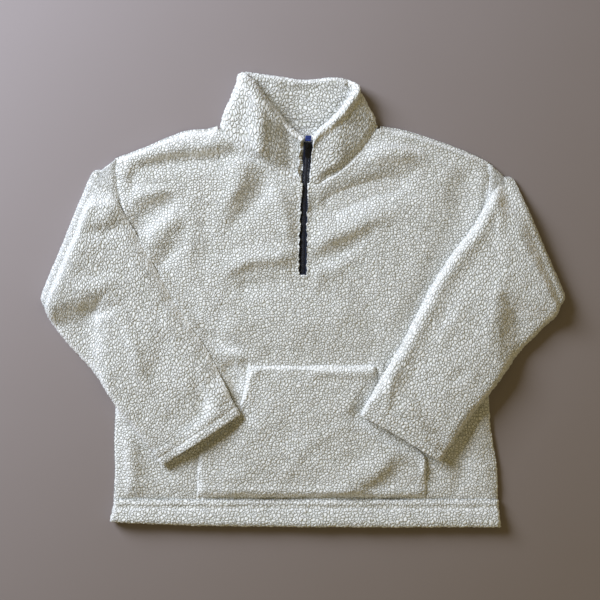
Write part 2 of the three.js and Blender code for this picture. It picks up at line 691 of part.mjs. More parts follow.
function slider() {
  const shield = [
    [-3.4, -sliderBehind], [3.4, -sliderBehind], [3.9, -2], [4.5, 1], [4.5, 3.4], [3.2, sliderAhead],
    [-3.2, sliderAhead], [-4.5, 3.4], [-4.5, 1], [-3.9, -2],
  ];
  const upperPlate = plate(shield, plateTop - plateThick, plateTop);
  const lowTop = plateTop - plateThick - throat;
  const lowerPlate = plate(shield, lowTop - plateThick, lowTop);
  const post = new THREE.BoxGeometry(4.4, 1.6, throat + plateThick);
  post.translate(0, sliderAhead - 1.2, lowTop + throat / 2);
  // bridge over the bar of the pull tab, its profile along the zip
  const [foot, reach, under, over] = [1.5, 2.7, 1.2, 2.1];
  const sunk = plateTop - plateThick / 2;
  const arch = plate([
    [-reach, sunk], [-foot, sunk], [-foot, under], [foot, under], [foot, sunk], [reach, sunk],
    [reach, over - 0.6], [reach - 0.8, over], [0.8 - reach, over], [-reach, over - 0.6],
  ], -1.1, 1.1);
  arch.applyMatrix4(new THREE.Matrix4().makeBasis(vec(0, 1, 0), vec(0, 0, 1), vec(1, 0, 0)));
  return new THREE.Mesh(joined([upperPlate, lowerPlate, post, arch]), blackMetal);
}

function pullTab() {
  const [halfWidth, length, neck] = [3.3, 18, 2.6];
  const shape = new THREE.Shape();
  shape.moveTo(-neck, barHalf);
  shape.lineTo(-neck, -5.5);
  shape.lineTo(-halfWidth, -8);
  shape.lineTo(-halfWidth, -length + halfWidth);
  shape.absarc(0, -length + halfWidth, halfWidth, Math.PI, 2 * Math.PI, false);
  shape.lineTo(halfWidth, -8);
  shape.lineTo(neck, -5.5);
  shape.lineTo(neck, barHalf);
  shape.closePath();
  const windowHalf = 1.5;
  const loop = new THREE.Path();
  loop.moveTo(-windowHalf, -barHalf);
  loop.lineTo(windowHalf, -barHalf);
  loop.lineTo(windowHalf, -4.6);
  loop.lineTo(-windowHalf, -4.6);
  loop.closePath();
  shape.holes.push(loop);
  const options = { depth: 2 * barHalf, bevelEnabled: false, curveSegments: 8 };
  const geometry = new THREE.ExtrudeGeometry(shape, options).translate(0, 0, -barHalf);
  return new THREE.Mesh(geometry, blackMetal);
}

// The slider and its tab share one place on the zip, turned to the slope of the collar
function placedOnZip(name, mesh) {
  mesh.name = name;
  const normal = vec(0, -Math.sin(collarSlope), Math.cos(collarSlope));
  mesh.position.copy(zipLine(sliderY)).addScaledVector(normal, barHeight);
  mesh.rotation.x = collarSlope;
  return mesh;
}

const pullover = new THREE.Group();
pullover.add(
  backPanel(),
  frontPanel(),
  pocket(),
  hemBand(),
  sleeve('sleeve_left', sides.left),
  sleeve('sleeve_right', sides.right),
  cuff('cuff_left', sides.left),
  cuff('cuff_right', sides.right),
  collar(),
  ...zipPieces(),
  placedOnZip('zip_slider', slider()),
  placedOnZip('pull_tab', pullTab()),
);

// The origin is below the middle of the whole, on the surface that the garment lies on
pullover.updateMatrixWorld(true);
const box = new THREE.Box3().setFromObject(pullover, true);
pullover.position.set(-(box.min.x + box.max.x) / 2, -(box.min.y + box.max.y) / 2, -box.min.z);

export default pullover;
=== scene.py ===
# Sherpa fleece half-zip pullover, laid flat with its sleeves folded over the front
import itertools
import math

import bmesh
import bpy
import numpy as np
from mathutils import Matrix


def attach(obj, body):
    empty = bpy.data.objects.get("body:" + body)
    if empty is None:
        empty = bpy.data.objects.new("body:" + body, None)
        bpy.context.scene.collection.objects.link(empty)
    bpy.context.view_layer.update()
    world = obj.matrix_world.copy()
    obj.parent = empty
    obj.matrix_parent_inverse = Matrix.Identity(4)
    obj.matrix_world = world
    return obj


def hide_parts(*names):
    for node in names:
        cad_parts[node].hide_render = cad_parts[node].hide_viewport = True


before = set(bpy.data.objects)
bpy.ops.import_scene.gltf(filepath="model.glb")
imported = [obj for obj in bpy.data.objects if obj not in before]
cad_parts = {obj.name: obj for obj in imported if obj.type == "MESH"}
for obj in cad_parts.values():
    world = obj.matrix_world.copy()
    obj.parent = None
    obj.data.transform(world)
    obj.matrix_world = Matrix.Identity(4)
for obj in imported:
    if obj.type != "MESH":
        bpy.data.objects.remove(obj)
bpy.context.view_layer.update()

# All cloth is worked out in millimetres on the table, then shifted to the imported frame's origin
tableShift = np.array([0.5314, -0.6120, 0.0])

cloth = 5.0  # pile and backing together
seamGap = 0.3
frontUnder = cloth + seamGap
frontTop = frontUnder + cloth
sleeveHalf = cloth + 0.9  # half thickness of a flattened sleeve
foldGap = 0.4
hemSeamY = -288.0
zipBottomY = 34.0
frontNeckY = 164.0
backNeckY = 247.0

# Both halves of the garment, as points [x, y]: the flank from the hem upwards, the shoulder from
# the neck outwards, and the folded sleeve's upper (over) and lower (under) edges from its fold to
# the cuff's seam, with their ends on the cuff's end
sides = {
    "left": {
        "sign": -1,
        "flank": [[-273, -288], [-271, -245], [-272, -205], [-270, -150], [-266, -60], [-263, 21]],
        "armhole": {"top": [-270, 204], "bottom": [-263, 21], "bow": 5},
        "shoulder": [[-122, 250], [-140, 246], [-165, 244.5], [-188, 237], [-236, 217], [-270, 204]],
        "foldLine": [[-291, 188], [-372, -8]],
        "over": [[-266, 143], [-241, 99], [-216, 54], [-190, 9], [-163, -34], [-140, -67],
                 [-117, -109], [-101, -142]],
        "under": [[-361, -33], [-339, -62], [-313, -91], [-287, -122], [-264, -158], [-243, -184],
                  [-224, -208], [-214, -219]],
        "cuffEnd": [[-88, -164], [-202, -238]],
    },
    "right": {
        "sign": 1,
        "flank": [[282, -288], [281, -243], [276, -208], [271, -177], [268, -60], [264, 21]],
        "armhole": {"top": [270, 198], "bottom": [264, 21], "bow": -5},
        "shoulder": [[112, 250], [126, 249], [152, 244], [178, 236], [230, 217], [270, 198]],
        "foldLine": [[292, 178], [371, -7]],
        "over": [[270, 150], [245, 107], [214, 66], [186, 23], [163, -22], [140, -65], [117, -103],
                 [94, -142]],
        "under": [[365, -23], [342, -46], [315, -74], [292, -104], [269, -133], [244, -163],
                  [226, -189], [211, -210]],
        "cuffEnd": [[82, -163], [199, -231]],
    },
}


def smooth(x, start, end):
    # 0 before start, 1 after end, and 3t^2 - 2t^3 between them
    t = np.clip((x - start) / (end - start), 0, 1)
    return t * t * (3 - 2 * t)


def mix(a, b, t):
    return a + (b - a) * t


def curveAt(points, t):
    # centripetal Catmull-Rom: on each span a cubic whose end slopes are weighted by the square
    # roots of the distances between the points round it
    p = np.asarray(points, float)
    p = np.vstack([2 * p[0] - p[1], p, 2 * p[-1] - p[-2]])
    spans = len(p) - 3
    along = np.asarray(t, float) * spans
    span = np.clip(np.floor(along).astype(int), 0, spans - 1)
    w = (along - span)[..., None]
    gaps = np.sqrt(np.linalg.norm(np.diff(p, axis=0), axis=1))[:, None]
    a, b, c, d = p[span], p[span + 1], p[span + 2], p[span + 3]
    before, here, after = gaps[span], gaps[span + 1], gaps[span + 2]
    slopeIn = ((b - a) / before - (c - a) / (before + here) + (c - b) / here) * here
    slopeOut = ((c - b) / here - (d - b) / (here + after) + (d - c) / after) * here
    square = -3 * b + 3 * c - 2 * slopeIn - slopeOut
    cube = 2 * b - 2 * c + slopeIn + slopeOut
    return b + slopeIn * w + square * w ** 2 + cube * w ** 3


edgeRows = [0, 0.5, 1.3, 2.4]  # mm from an edge, rows close enough to draw it round


def spread(length, cell, ends, step):
    # places from 0 to 1 along a length of cloth: close together at both ends, then one to a cell,
    # with a number of cells that step divides
    close = np.array(ends, float)
    cells = step * math.ceil((length / cell + 2 * len(close)) / step)
    middle = np.linspace(close[-1], length - close[-1], cells - 2 * (len(close) - 1) + 1)
    return np.concatenate([close[:-1], middle, length - close[-2::-1]]) / length


def edgeDrop(distance, radius):
    # how far a rounded edge has fallen at a distance from it: a quarter circle
    t = np.clip(distance / radius, 0, 1)
    return radius * (1 - np.sqrt(1 - (1 - t) ** 2))


def bell(distance, width):
    # a soft roll or trough: 1 at its middle, falling to exp(-1) at its half width
    return np.exp(-((distance / width) ** 2))


def foldHeight(folds, x, y):
    # each fold is a bell across a bent line, faded towards both ends, one flank wider than the other
    total = np.zeros_like(x)
    for line, width, height, lean in folds:
        bent = curveAt(line, np.linspace(0, 1, 4 * len(line) - 3))
        (left, low), (right, high) = bent.min(0) - 3 * width, bent.max(0) + 3 * width
        near = (x > left) & (x < right) & (y > low) & (y < high)
        px, py = x[near], y[near]
        nearest, off, share = (np.full(px.shape, v) for v in (1e9, 0.0, 0.0))
        for k, (a, b) in enumerate(zip(bent, bent[1:])):
            length = math.hypot(*(b - a))
            ax, ay = (b - a) / length
            t = np.clip(((px - a[0]) * ax + (py - a[1]) * ay) / length, 0, 1)
            across = (px - a[0]) * ay - (py - a[1]) * ax
            away = np.hypot(px - a[0] - t * length * ax, py - a[1] - t * length * ay)
            closer = away < nearest
            nearest = np.where(closer, away, nearest)
            off = np.where(closer, across, off)
            share = np.where(closer, (k + t) / (len(bent) - 1), share)
        fade = smooth(share, -0.15, 0.3) * (1 - smooth(share, 0.7, 1.15))
        reach = width * (1 + lean * np.tanh(off / width))
        total[near] += height * fade * bell(nearest, reach)
    return total


def outsideOf(outline, x, y):
    # distance outside a convex anticlockwise outline, negative inside it
    farthest = np.full_like(x, -1e9)
    for a, b in zip(outline, outline[1:] + outline[:1]):
        length = math.hypot(b[0] - a[0], b[1] - a[1])
        farthest = np.maximum(farthest, ((b[1] - a[1]) * (x - a[0]) - (b[0] - a[0]) * (y - a[1])) / length)
    return farthest


def besideSleeve(side, x, y):
    # distance from the folded sleeve's outline, negative under the sleeve: even-odd test and the
    # nearest edge
    line = [side["foldLine"][0], *side["over"], *side["cuffEnd"], *side["under"][::-1], side["foldLine"][1]]
    nearest = np.full_like(x, 1e9)
    inside = np.zeros(x.shape, bool)
    for a, b in zip(line, line[1:] + line[:1]):
        dx, dy = b[0] - a[0], b[1] - a[1]
        t = np.clip(((x - a[0]) * dx + (y - a[1]) * dy) / (dx * dx + dy * dy), 0, 1)
        nearest = np.minimum(nearest, np.hypot(x - a[0] - t * dx, y - a[1] - t * dy))
        crosses = (a[1] > y) != (b[1] > y)
        inside ^= crosses & (x < a[0] + dx * (y - a[1]) / (dy if dy else 1e-9))
    return np.where(inside, -nearest, nearest)


def openToView(x, y, near, far):
    # 0 under a folded sleeve, 1 clear of both
    left = smooth(besideSleeve(sides["left"], x, y), near, far)
    return left * smooth(besideSleeve(sides["right"], x, y), near, far)


# Pile in the mesh: clumps of tufts, slow waves, and curls that stand out where the cloth turns away
pile = {
    "curl": 5.2,  # mm from one curl to the next
    "drift": [6.0, 1.5],  # mm, size and reach of the waves that bend the rows of curls
    "curlHeight": 0.55,  # mm from a crease to a curl's crown
    "edgeHeight": 1.2,  # the same round the cloth's edges, where the pile stands free
    "clump": 12.0,  # mm across a clump of curls
    "clumpHeight": 0.6,
    "sway": 42.0,  # mm, slow waves of a loose cloth
    "swayHeight": 1.7,
    "hidden": 0.6,  # how high the pile counts where nothing of it shows
}


def scramble(ix, iy, iz, seed):
    # a whole number from 0 to 2^32 - 1 for each cell of a cubic grid
    h = (ix * 0x8DA6B343 + iy * 0xD8163841 + iz * 0xCB1AB31F + seed * 0x9E3779B1) & 0xFFFFFFFF
    h = ((h ^ (h >> 15)) * 0x2C1B3C6D) & 0xFFFFFFFF
    h = ((h ^ (h >> 12)) * 0x297A2D39) & 0xFFFFFFFF
    return h ^ (h >> 15)


def scattered(points, size, seed):
    # distances, in cells, to the nearest and next nearest of points strewn one to a cell
    p = points / size
    cell = np.floor(p).astype(np.int64)
    first = np.full(len(p), 9.0)
    second = np.full(len(p), 9.0)
    for offset in itertools.product((-1, 0, 1), repeat=3):
        corner = cell + offset
        h = scramble(*corner.T, seed)
        strewn = corner + np.stack([h & 1023, h >> 10 & 1023, h >> 20 & 1023], 1) / 1023
        away = np.sqrt(((strewn - p) ** 2).sum(1))
        second = np.minimum(second, np.maximum(first, away))
        first = np.minimum(first, away)
    return first, second


def waves(points, size, seed):
    # smooth noise from -1 to 1: random values at the corners of cubes, eased between them
    p = points / size
    cell = np.floor(p).astype(np.int64)
    t = p - cell
    t = t * t * (3 - 2 * t)
    total = np.zeros(len(p))
    for corner in itertools.product((0, 1), repeat=3):
        h = scramble(*(cell + corner).T, seed) / 0xFFFFFFFF
        wx, wy, wz = np.where(corner, t, 1 - t).T
        total += (2 * h - 1) * wx * wy * wz
    return total


def gridNormals(grid, closed):
    # cross product of the two directions of the grid at each point
    if closed:
        across = np.roll(grid, -1, 1) - np.roll(grid, 1, 1)
    else:
        across = np.gradient(grid, axis=1)
    up = np.gradient(grid, axis=0)
    normals = np.cross(across, up)
    return normals / np.maximum(np.linalg.norm(normals, axis=2, keepdims=True), 1e-9)


def turnedTo(up, normals, row, column):
    # turned round, if need be, so that the normal at row and column points up (1) or down (-1)
    return normals * (up * np.sign(normals[row, column, 2]))


def brushed(grid, normals, shown, seed):
    # raises the pile along the normals where it shows, and gives back how high each point
    # stands between the creases (0) and the crowns (1)
    flat = grid.reshape(-1, 3)
    size, bend = pile["drift"]
    drift = np.stack([waves(flat, size, seed + k) for k in (1, 2, 3)], 1) * bend
    first, second = scattered(flat + drift, pile["curl"], seed)
    crown = smooth(second - first, 0, 0.42) * (1 - 0.45 * np.clip(first, 0, 1) ** 2)
    clump = waves(flat, pile["clump"], seed + 7)
    sway = waves(flat, pile["sway"], seed + 11) + 0.5 * waves(flat, 0.5 * pile["sway"], seed + 13)
    steep = 1 - np.abs(normals[..., 2].reshape(-1))
    turned = smooth(steep, 0.3, 0.9)
    height = (mix(pile["curlHeight"], pile["edgeHeight"], turned) * (crown - 0.6)
              + pile["clumpHeight"] * clump + pile["swayHeight"] * (1 - turned) * sway)
    height = height.reshape(grid.shape[:2]) * shown
    moved = grid + normals * height[..., None]
    moved[..., 2] = np.maximum(moved[..., 2], 0)
    high = np.clip(0.78 * crown + 0.16 * clump + 0.1, 0, 1)
    # painted highlight: on rolled edges up to 1 more, which washes the creases out and paints the edges
    # paler
    high = (high + smooth(steep, 0.03, 0.2)).reshape(grid.shape[:2])
    return moved, mix(pile["hidden"], high, np.clip(shown, 0, 1))


def clothPlaces(grid, closed, centre, even=False):
    # where each point lies on the flat cloth, in mm: the length along its row from the centre
    # column, and the length down that column. Even takes the middle row's lengths for every row
    ring = np.concatenate([grid, grid[:, :1]], 1) if closed else grid
    along = np.cumsum(np.linalg.norm(np.diff(ring, axis=1), axis=2), 1)
    along = np.concatenate([np.zeros((len(grid), 1)), along], 1)
    if even:
        along = np.repeat(along[len(grid) // 2][None], len(grid), 0)
    along -= along[:, centre][:, None]
    down = np.cumsum(np.linalg.norm(np.diff(grid[:, centre], axis=0), axis=1))
    down = np.concatenate([[0], down])
    return np.stack(np.broadcast_arrays(along, down[:, None]), -1)


def facingOut(points, polygons):
    # turns every polygon round if the volume that they enclose, summed over their fans, is negative
    volume = 0.0
    for block in polygons:
        a = points[block[:, 0]]
        for n in range(1, block.shape[1] - 1):
            volume += np.einsum("ij,ij->", a, np.cross(points[block[:, n]], points[block[:, n + 1]]))
    return [block[:, ::-1] for block in polygons] if volume < 0 else polygons


def fullTurn(count):
    return np.linspace(0, 2 * np.pi, count, endpoint=False)[None]


def tubes(name, grid):
    # closed tubes from rings of points, tubes x rings x round x 3, with a flat cap at each end
    count, rings, around = grid.shape[:3]
    index = np.arange(count * rings * around).reshape(count, rings, around)
    turned = np.roll(index, -1, 2)
    quads = np.stack([index[:, :-1], turned[:, :-1], turned[:, 1:], index[:, 1:]], -1).reshape(-1, 4)
    caps = np.concatenate([index[:, 0, ::-1], index[:, -1]])
    points = grid.reshape(-1, 3)
    polygons = facingOut(points, [quads, caps])
    corners = np.concatenate([block.ravel() for block in polygons])
    return meshPiece(name, points, corners, [block.shape for block in polygons])


def shell(name, face, lining, step, height, places, closed=False, openCells=None, lowHeight=None):
    # a closed skin from two grids of the same size: every point of face, and every step-th of
    # lining, joined by a wall along each open edge. A closed grid's first column is also its last
    def wrapped(grid):
        return np.concatenate([grid, grid[:, :1]], 1) if closed else grid

    rows = len(face)
    face, low = wrapped(face), wrapped(lining[::step, ::step])
    rim = face.shape[1]
    filled = np.ones((rows - 1, rim - 1), bool)
    if openCells is not None:
        filled &= ~openCells
    faceIndex = np.arange(rows * rim).reshape(rows, rim)
    lowIndex = np.arange(low.shape[0] * low.shape[1]).reshape(low.shape[:2]) + rows * rim
    q = faceIndex
    quads = np.stack([q[:-1, :-1], q[:-1, 1:], q[1:, 1:], q[1:, :-1]], -1)[filled]
    coarse = filled[::step, ::step]
    q = lowIndex
    lowQuads = np.stack([q[:-1, :-1], q[1:, :-1], q[1:, 1:], q[:-1, 1:]], -1)[coarse]
    padded = np.pad(coarse, 1)
    if closed:
        padded[:, 0], padded[:, -1] = padded[:, -2], padded[:, 1]
    k = np.arange(step + 1)
    walls = []
    for dj, di in ((-1, 0), (1, 0), (0, -1), (0, 1)):
        near = padded[1 + dj:padded.shape[0] - 1 + dj, 1 + di:padded.shape[1] - 1 + di]
        j, i = np.nonzero(coarse & ~near)
        if dj:
            row = j + (dj > 0)
            chain = faceIndex[(row * step)[:, None], (i * step)[:, None] + (k if dj > 0 else k[::-1])]
            ends = [(row, i + 1), (row, i)] if dj > 0 else [(row, i), (row, i + 1)]
        else:
            column = i + (di > 0)
            chain = faceIndex[(j * step)[:, None] + (k if di < 0 else k[::-1]), (column * step)[:, None]]
            ends = [(j + 1, column), (j, column)] if di < 0 else [(j, column), (j + 1, column)]
        walls.append(np.hstack([chain, *(lowIndex[a, b][:, None] for a, b in ends)]))
    walls = np.vstack(walls)
    points = np.vstack([face.reshape(-1, 3), low.reshape(-1, 3)])
    lowHigh = np.full(low.shape[:2], pile["hidden"]) if lowHeight is None else wrapped(lowHeight)
    high = np.concatenate([wrapped(height).ravel(), lowHigh.ravel()])
    flat = np.vstack([places.reshape(-1, 2), places[::step, ::step].reshape(-1, 2)])
    same = np.arange(len(points))  # the wrapped column stands for the first one
    if closed:
        same[faceIndex[:, -1]] = faceIndex[:, 0]
        same[lowIndex[:, -1]] = lowIndex[:, 0]
    polygons = [np.vstack([quads, lowQuads]), walls]
    polygons = facingOut(points, polygons)
    corners = np.concatenate([block.ravel() for block in polygons])
    used, order = np.unique(same[corners], return_inverse=True)
    return meshPiece(name, points[used], order, [b.shape for b in polygons], high[used], flat[corners])


def placed(name, data):
    # an object of its own for a mesh, a lamp or a camera
    made = bpy.data.objects.new(name, data)
    bpy.context.scene.collection.objects.link(made)
    return made


def meshPiece(name, points, corners, shapes, high=None, flat=None):
    # puts whole arrays into a mesh: shapes lists (polygons, corners each) in order
    sizes = np.concatenate([np.full(n, m) for n, m in shapes])
    starts = np.concatenate([[0], np.cumsum(sizes)[:-1]])
    mesh = bpy.data.meshes.new(name)
    mesh.vertices.add(len(points))
    mesh.vertices.foreach_set("co", ((points + tableShift) * 0.001).astype(np.float32).ravel())
    mesh.loops.add(len(corners))
    mesh.loops.foreach_set("vertex_index", corners.astype(np.int32))
    mesh.polygons.add(len(sizes))
    mesh.polygons.foreach_set("loop_start", starts.astype(np.int32))
    mesh.update(calc_edges=True)
    if flat is not None:
        layer = mesh.uv_layers.new(name="clothPlace")
        layer.data.foreach_set("uv", (flat * 0.001).astype(np.float32).ravel())
        pileHeight = mesh.attributes.new("pileHeight", "FLOAT", "POINT")
        pileHeight.data.foreach_set("value", high.astype(np.float32))
    mesh.validate()
    mesh.shade_smooth()
    return placed(name, mesh)


def toLinear(code):
    # sRGB hex to the linear colour that a shader wants
    parts = [int(code[k:k + 2], 16) / 255 for k in (0, 2, 4)]
    return [p / 12.92 if p <= 0.04045 else ((p + 0.055) / 1.055) ** 2.4 for p in parts] + [1.0]


def addNode(tree, kind, values=None, links=None, **settings):
    # one node, with its settings, the values of its sockets and what is linked to them
    made = tree.nodes.new(kind)
    for key, value in settings.items():
        setattr(made, key, value)
    for key, value in (values or {}).items():
        made.inputs[key].default_value = value
    for key, source in (links or {}).items():
        tree.links.new(source, made.inputs[key])
    return made


def newMaterial(name):
    material = bpy.data.materials.new(name)
    material.use_nodes = True
    tree = material.node_tree
    tree.nodes.clear()
    return material, tree


def colourRamp(tree, factor, stops):
    # colours at their places from 0 to 1, in order
    node = addNode(tree, "ShaderNodeValToRGB", None, {"Fac": factor})
    elements = node.color_ramp.elements
    for k, (place, code) in enumerate(stops):
        element = elements[k] if k < len(elements) else elements.new(place)
        element.position = place
        element.color = toLinear(code)
    return node.outputs["Color"]


def multiplyAdd(tree, value, factor, added):
    made = addNode(tree, "ShaderNodeMath", {1: factor}, {0: value, 2: added}, operation="MULTIPLY_ADD")
    return made.outputs[0]


def noise(tree, place, scale, detail, output="Fac"):
    values = {"Scale": scale, "Detail": detail}
    return addNode(tree, "ShaderNodeTexNoise", values, {"Vector": place}).outputs[output]


def ranged(tree, value, low, high, start=0.0, end=1.0, **settings):
    # low to high drawn out from start to end
    values = {"From Min": low, "From Max": high, "To Min": start, "To Max": end}
    return addNode(tree, "ShaderNodeMapRange", values, {"Value": value}, **settings).outputs[0]


def finishSurface(tree, values, links):
    shader = addNode(tree, "ShaderNodeBsdfPrincipled", values, links)
    addNode(tree, "ShaderNodeOutputMaterial", None, {"Surface": shader.outputs[0]})


# Sherpa fleece: knitted polyester whose pile is brushed up and curled into small tufts. Matt and
# pale on the tufts' crowns; the grey green in the creases between them is painted shade
fleece = {
    # creaseShade is painted shade in the creases; crown also paints the rolled edges paler, a painted
    # highlight
    "creaseShade": "b0b1a3", "slope": "d3d5cb", "body": "e5e7e2", "crown": "f7f9f8",
    "bumpDistance": 0.0015,  # m, from crease to crown of a tuft 5 mm wide
    "edgeBump": 0.22,  # strength left on rolled edges
    "fibre": 0.6,  # mm, drawn coarser than the real 0.02 mm filament
}


def fleeceMaterial(name, curl):
    # curl is the distance in mm from one tuft to the next
    material, tree = newMaterial(name)
    place = addNode(tree, "ShaderNodeUVMap", uv_map="clothPlace").outputs["UV"]
    drift = noise(tree, place, 480.0 / curl, 2.0, "Color")
    centred = addNode(tree, "ShaderNodeVectorMath", {1: (0.5, 0.5, 0.5)}, {0: drift}, operation="SUBTRACT")
    sway = 0.0019 * curl
    bent = addNode(tree, "ShaderNodeVectorMath", {1: (sway, sway, 0.0)},
                   {0: centred.outputs[0], 2: place}, operation="MULTIPLY_ADD").outputs[0]
    scale = {"Scale": 1000 / curl, "Randomness": 0.95}
    edges = addNode(tree, "ShaderNodeTexVoronoi", scale, {"Vector": bent}, voronoi_dimensions="2D",
                    feature="DISTANCE_TO_EDGE")
    tufts = addNode(tree, "ShaderNodeTexVoronoi", scale, {"Vector": bent}, voronoi_dimensions="2D")
    each = addNode(tree, "ShaderNodeSeparateColor", None, {"Color": tufts.outputs["Color"]})
    fibres = noise(tree, bent, 1000 / fleece["fibre"], 2.0)
    patches = noise(tree, place, 34.0, 3.0)
    high = addNode(tree, "ShaderNodeAttribute", attribute_name="pileHeight").outputs["Fac"]
    rise = ranged(tree, edges.outputs["Distance"], 0.0, 0.22, interpolation_type="SMOOTHSTEP")
    dome = ranged(tree, tufts.outputs["Distance"], 0.1, 0.8, 1.0, 0.0)
    # from near 0 in a crease to 1.4 on a crown
    relief = multiplyAdd(tree, dome, 0.4, rise)
    level = relief
    for source, share in ((each.outputs[0], 0.16), (high, 0.5), (patches, 0.35), (fibres, 0.2)):
        level = multiplyAdd(tree, source, share, level)
    # painted shade: the ramp darkens the creases towards creaseShade, and pileHeight above 1 paints rolled
    # edges up to the crown colour, a painted highlight
    stops = zip((0.0, 0.3, 0.6, 1.0), (fleece[part] for part in ("creaseShade", "slope", "body", "crown")))
    colour = colourRamp(tree, ranged(tree, level, 0.4, 2.1), stops)
    # the bump fades where the pile is spread on a rolled edge
    flatter = ranged(tree, high, 1.0, 2.0, 1.0, fleece["edgeBump"])
    bump = addNode(tree, "ShaderNodeBump", {"Distance": fleece["bumpDistance"] * curl / 5},
                   {"Height": multiplyAdd(tree, fibres, 0.16, relief), "Strength": flatter})
    finishSurface(tree, {"Roughness": 0.95, "IOR": 1.5, "Specular IOR Level": 0.12, "Sheen Weight": 0.6,
                         "Sheen Roughness": 0.6, "Sheen Tint": toLinear("f1f6ff")},
                  {"Base Color": colour, "Normal": bump.outputs["Normal"]})
    return material


# The pile lies denser on the body, and opens into larger tufts on the sleeves, the hem and the collar
bodyFleece = fleeceMaterial("sherpaFleeceBody", 4.1)
sleeveFleece = fleeceMaterial("sherpaFleeceSleeve", 4.4)
collarFleece = fleeceMaterial("sherpaFleeceCollar", 4.7)


def dress(piece, node, finish, sewnOn=()):
    # a finished cloth piece takes its node's place and rides with the garment, as its sewing does
    piece.data.materials.append(finish)
    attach(piece, "garment")
    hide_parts(node)
    print(node, len(piece.data.polygons), "faces")


# Collar, a doubled band: the middle of its wall at the neck seam and at its rim, round the neck
collarRows = {
    "seam": [[-1.5, 165, 7.8], [-12, 169, 7.8], [-30, 178, 7.8], [-58, 194, 7.8], [-81, 210, 7.8],
             [-98, 224, 7.8], [-111, 239, 8.2], [-117, 250, 5.2], [-108, 251, 3], [-80, 250, 2.5],
             [-40, 248, 2.5], [-5, 247, 2.5], [36, 248, 2.5], [72, 250, 2.5], [98, 251, 3],
             [107, 250, 5.2], [101, 240, 8.2], [90, 222, 7.8], [75, 204, 7.8], [56, 188, 7.8],
             [34, 175, 7.8], [20, 168, 7.8], [9.3, 165, 7.8]],
    "rim": [[1.6, 235, 21], [-8, 242, 21], [-20, 253, 21], [-42, 279, 25], [-59, 300, 30],
            [-70, 314, 30], [-79, 323, 26], [-82, 327, 18], [-72, 328, 10], [-52, 326, 6],
            [-26, 322, 4.8], [0, 319, 4.8], [30, 320, 5.4], [50, 320, 8], [63, 317, 13], [70.5, 309, 20],
            [70, 299, 26], [64, 289, 30], [54, 274, 29], [38, 258, 25], [24, 247, 21], [18, 240, 20],
            [15.4, 236, 20]],
}
lastLeftFront = 7 / 22  # share of the way round where the left fold stands
firstRightFront = 15 / 22


def zipAt(y):
    return 0.5 + 8 * np.maximum(0, (y - 35) / 200) ** 2


def slotHalf(y):
    lower = mix(6.2, 4.9, smooth(y, 40, 165))
    return mix(lower, 6.4, smooth(y, 175, 225))


def slotEdge(side, y):
    return zipAt(y) + side["sign"] * slotHalf(y)


# Body panels: `across` from the zip (0) to the flank (1), `up` from the hem (0) to the top (1), and
# a and u the same two over the panel's grid
body = {
    "neckShare": 0.42,  # part of `across` that ends at the neck point
    "armholeShare": 0.62,  # part of `up` that ends at the underarm
    "halfWidth": 265, "height": 450, "backHeight": 500,  # mm, to turn shares into distances
    "belowZip": 322, "besideZip": 146, "backLength": 520,  # mm of cloth that the rows are spread over
    "cell": 1.75,  # mm between points of the front
    "backCell": 2.5,
    "baseLift": 2.6,
    "foldStrength": 1.35,
    "shoulderFall": [26, 7.0],  # mm, how wide and how far the front falls to the shoulder seam
    "seamReach": 1.4,  # mm that a sewn edge reaches into its neighbour
    "welt": 1.0,  # mm that the edge along the zip's slot stands up
    "swell": 3.2,  # mm that the front stands up against the left sleeve's thin edge
    "pressed": [[(108, -84), (118, -112), (138, -165)], 8, 4.5, 0.0],  # a fold beside the pocket
    "seed": {"front": 11, "back": 23, "slot": 9},
}
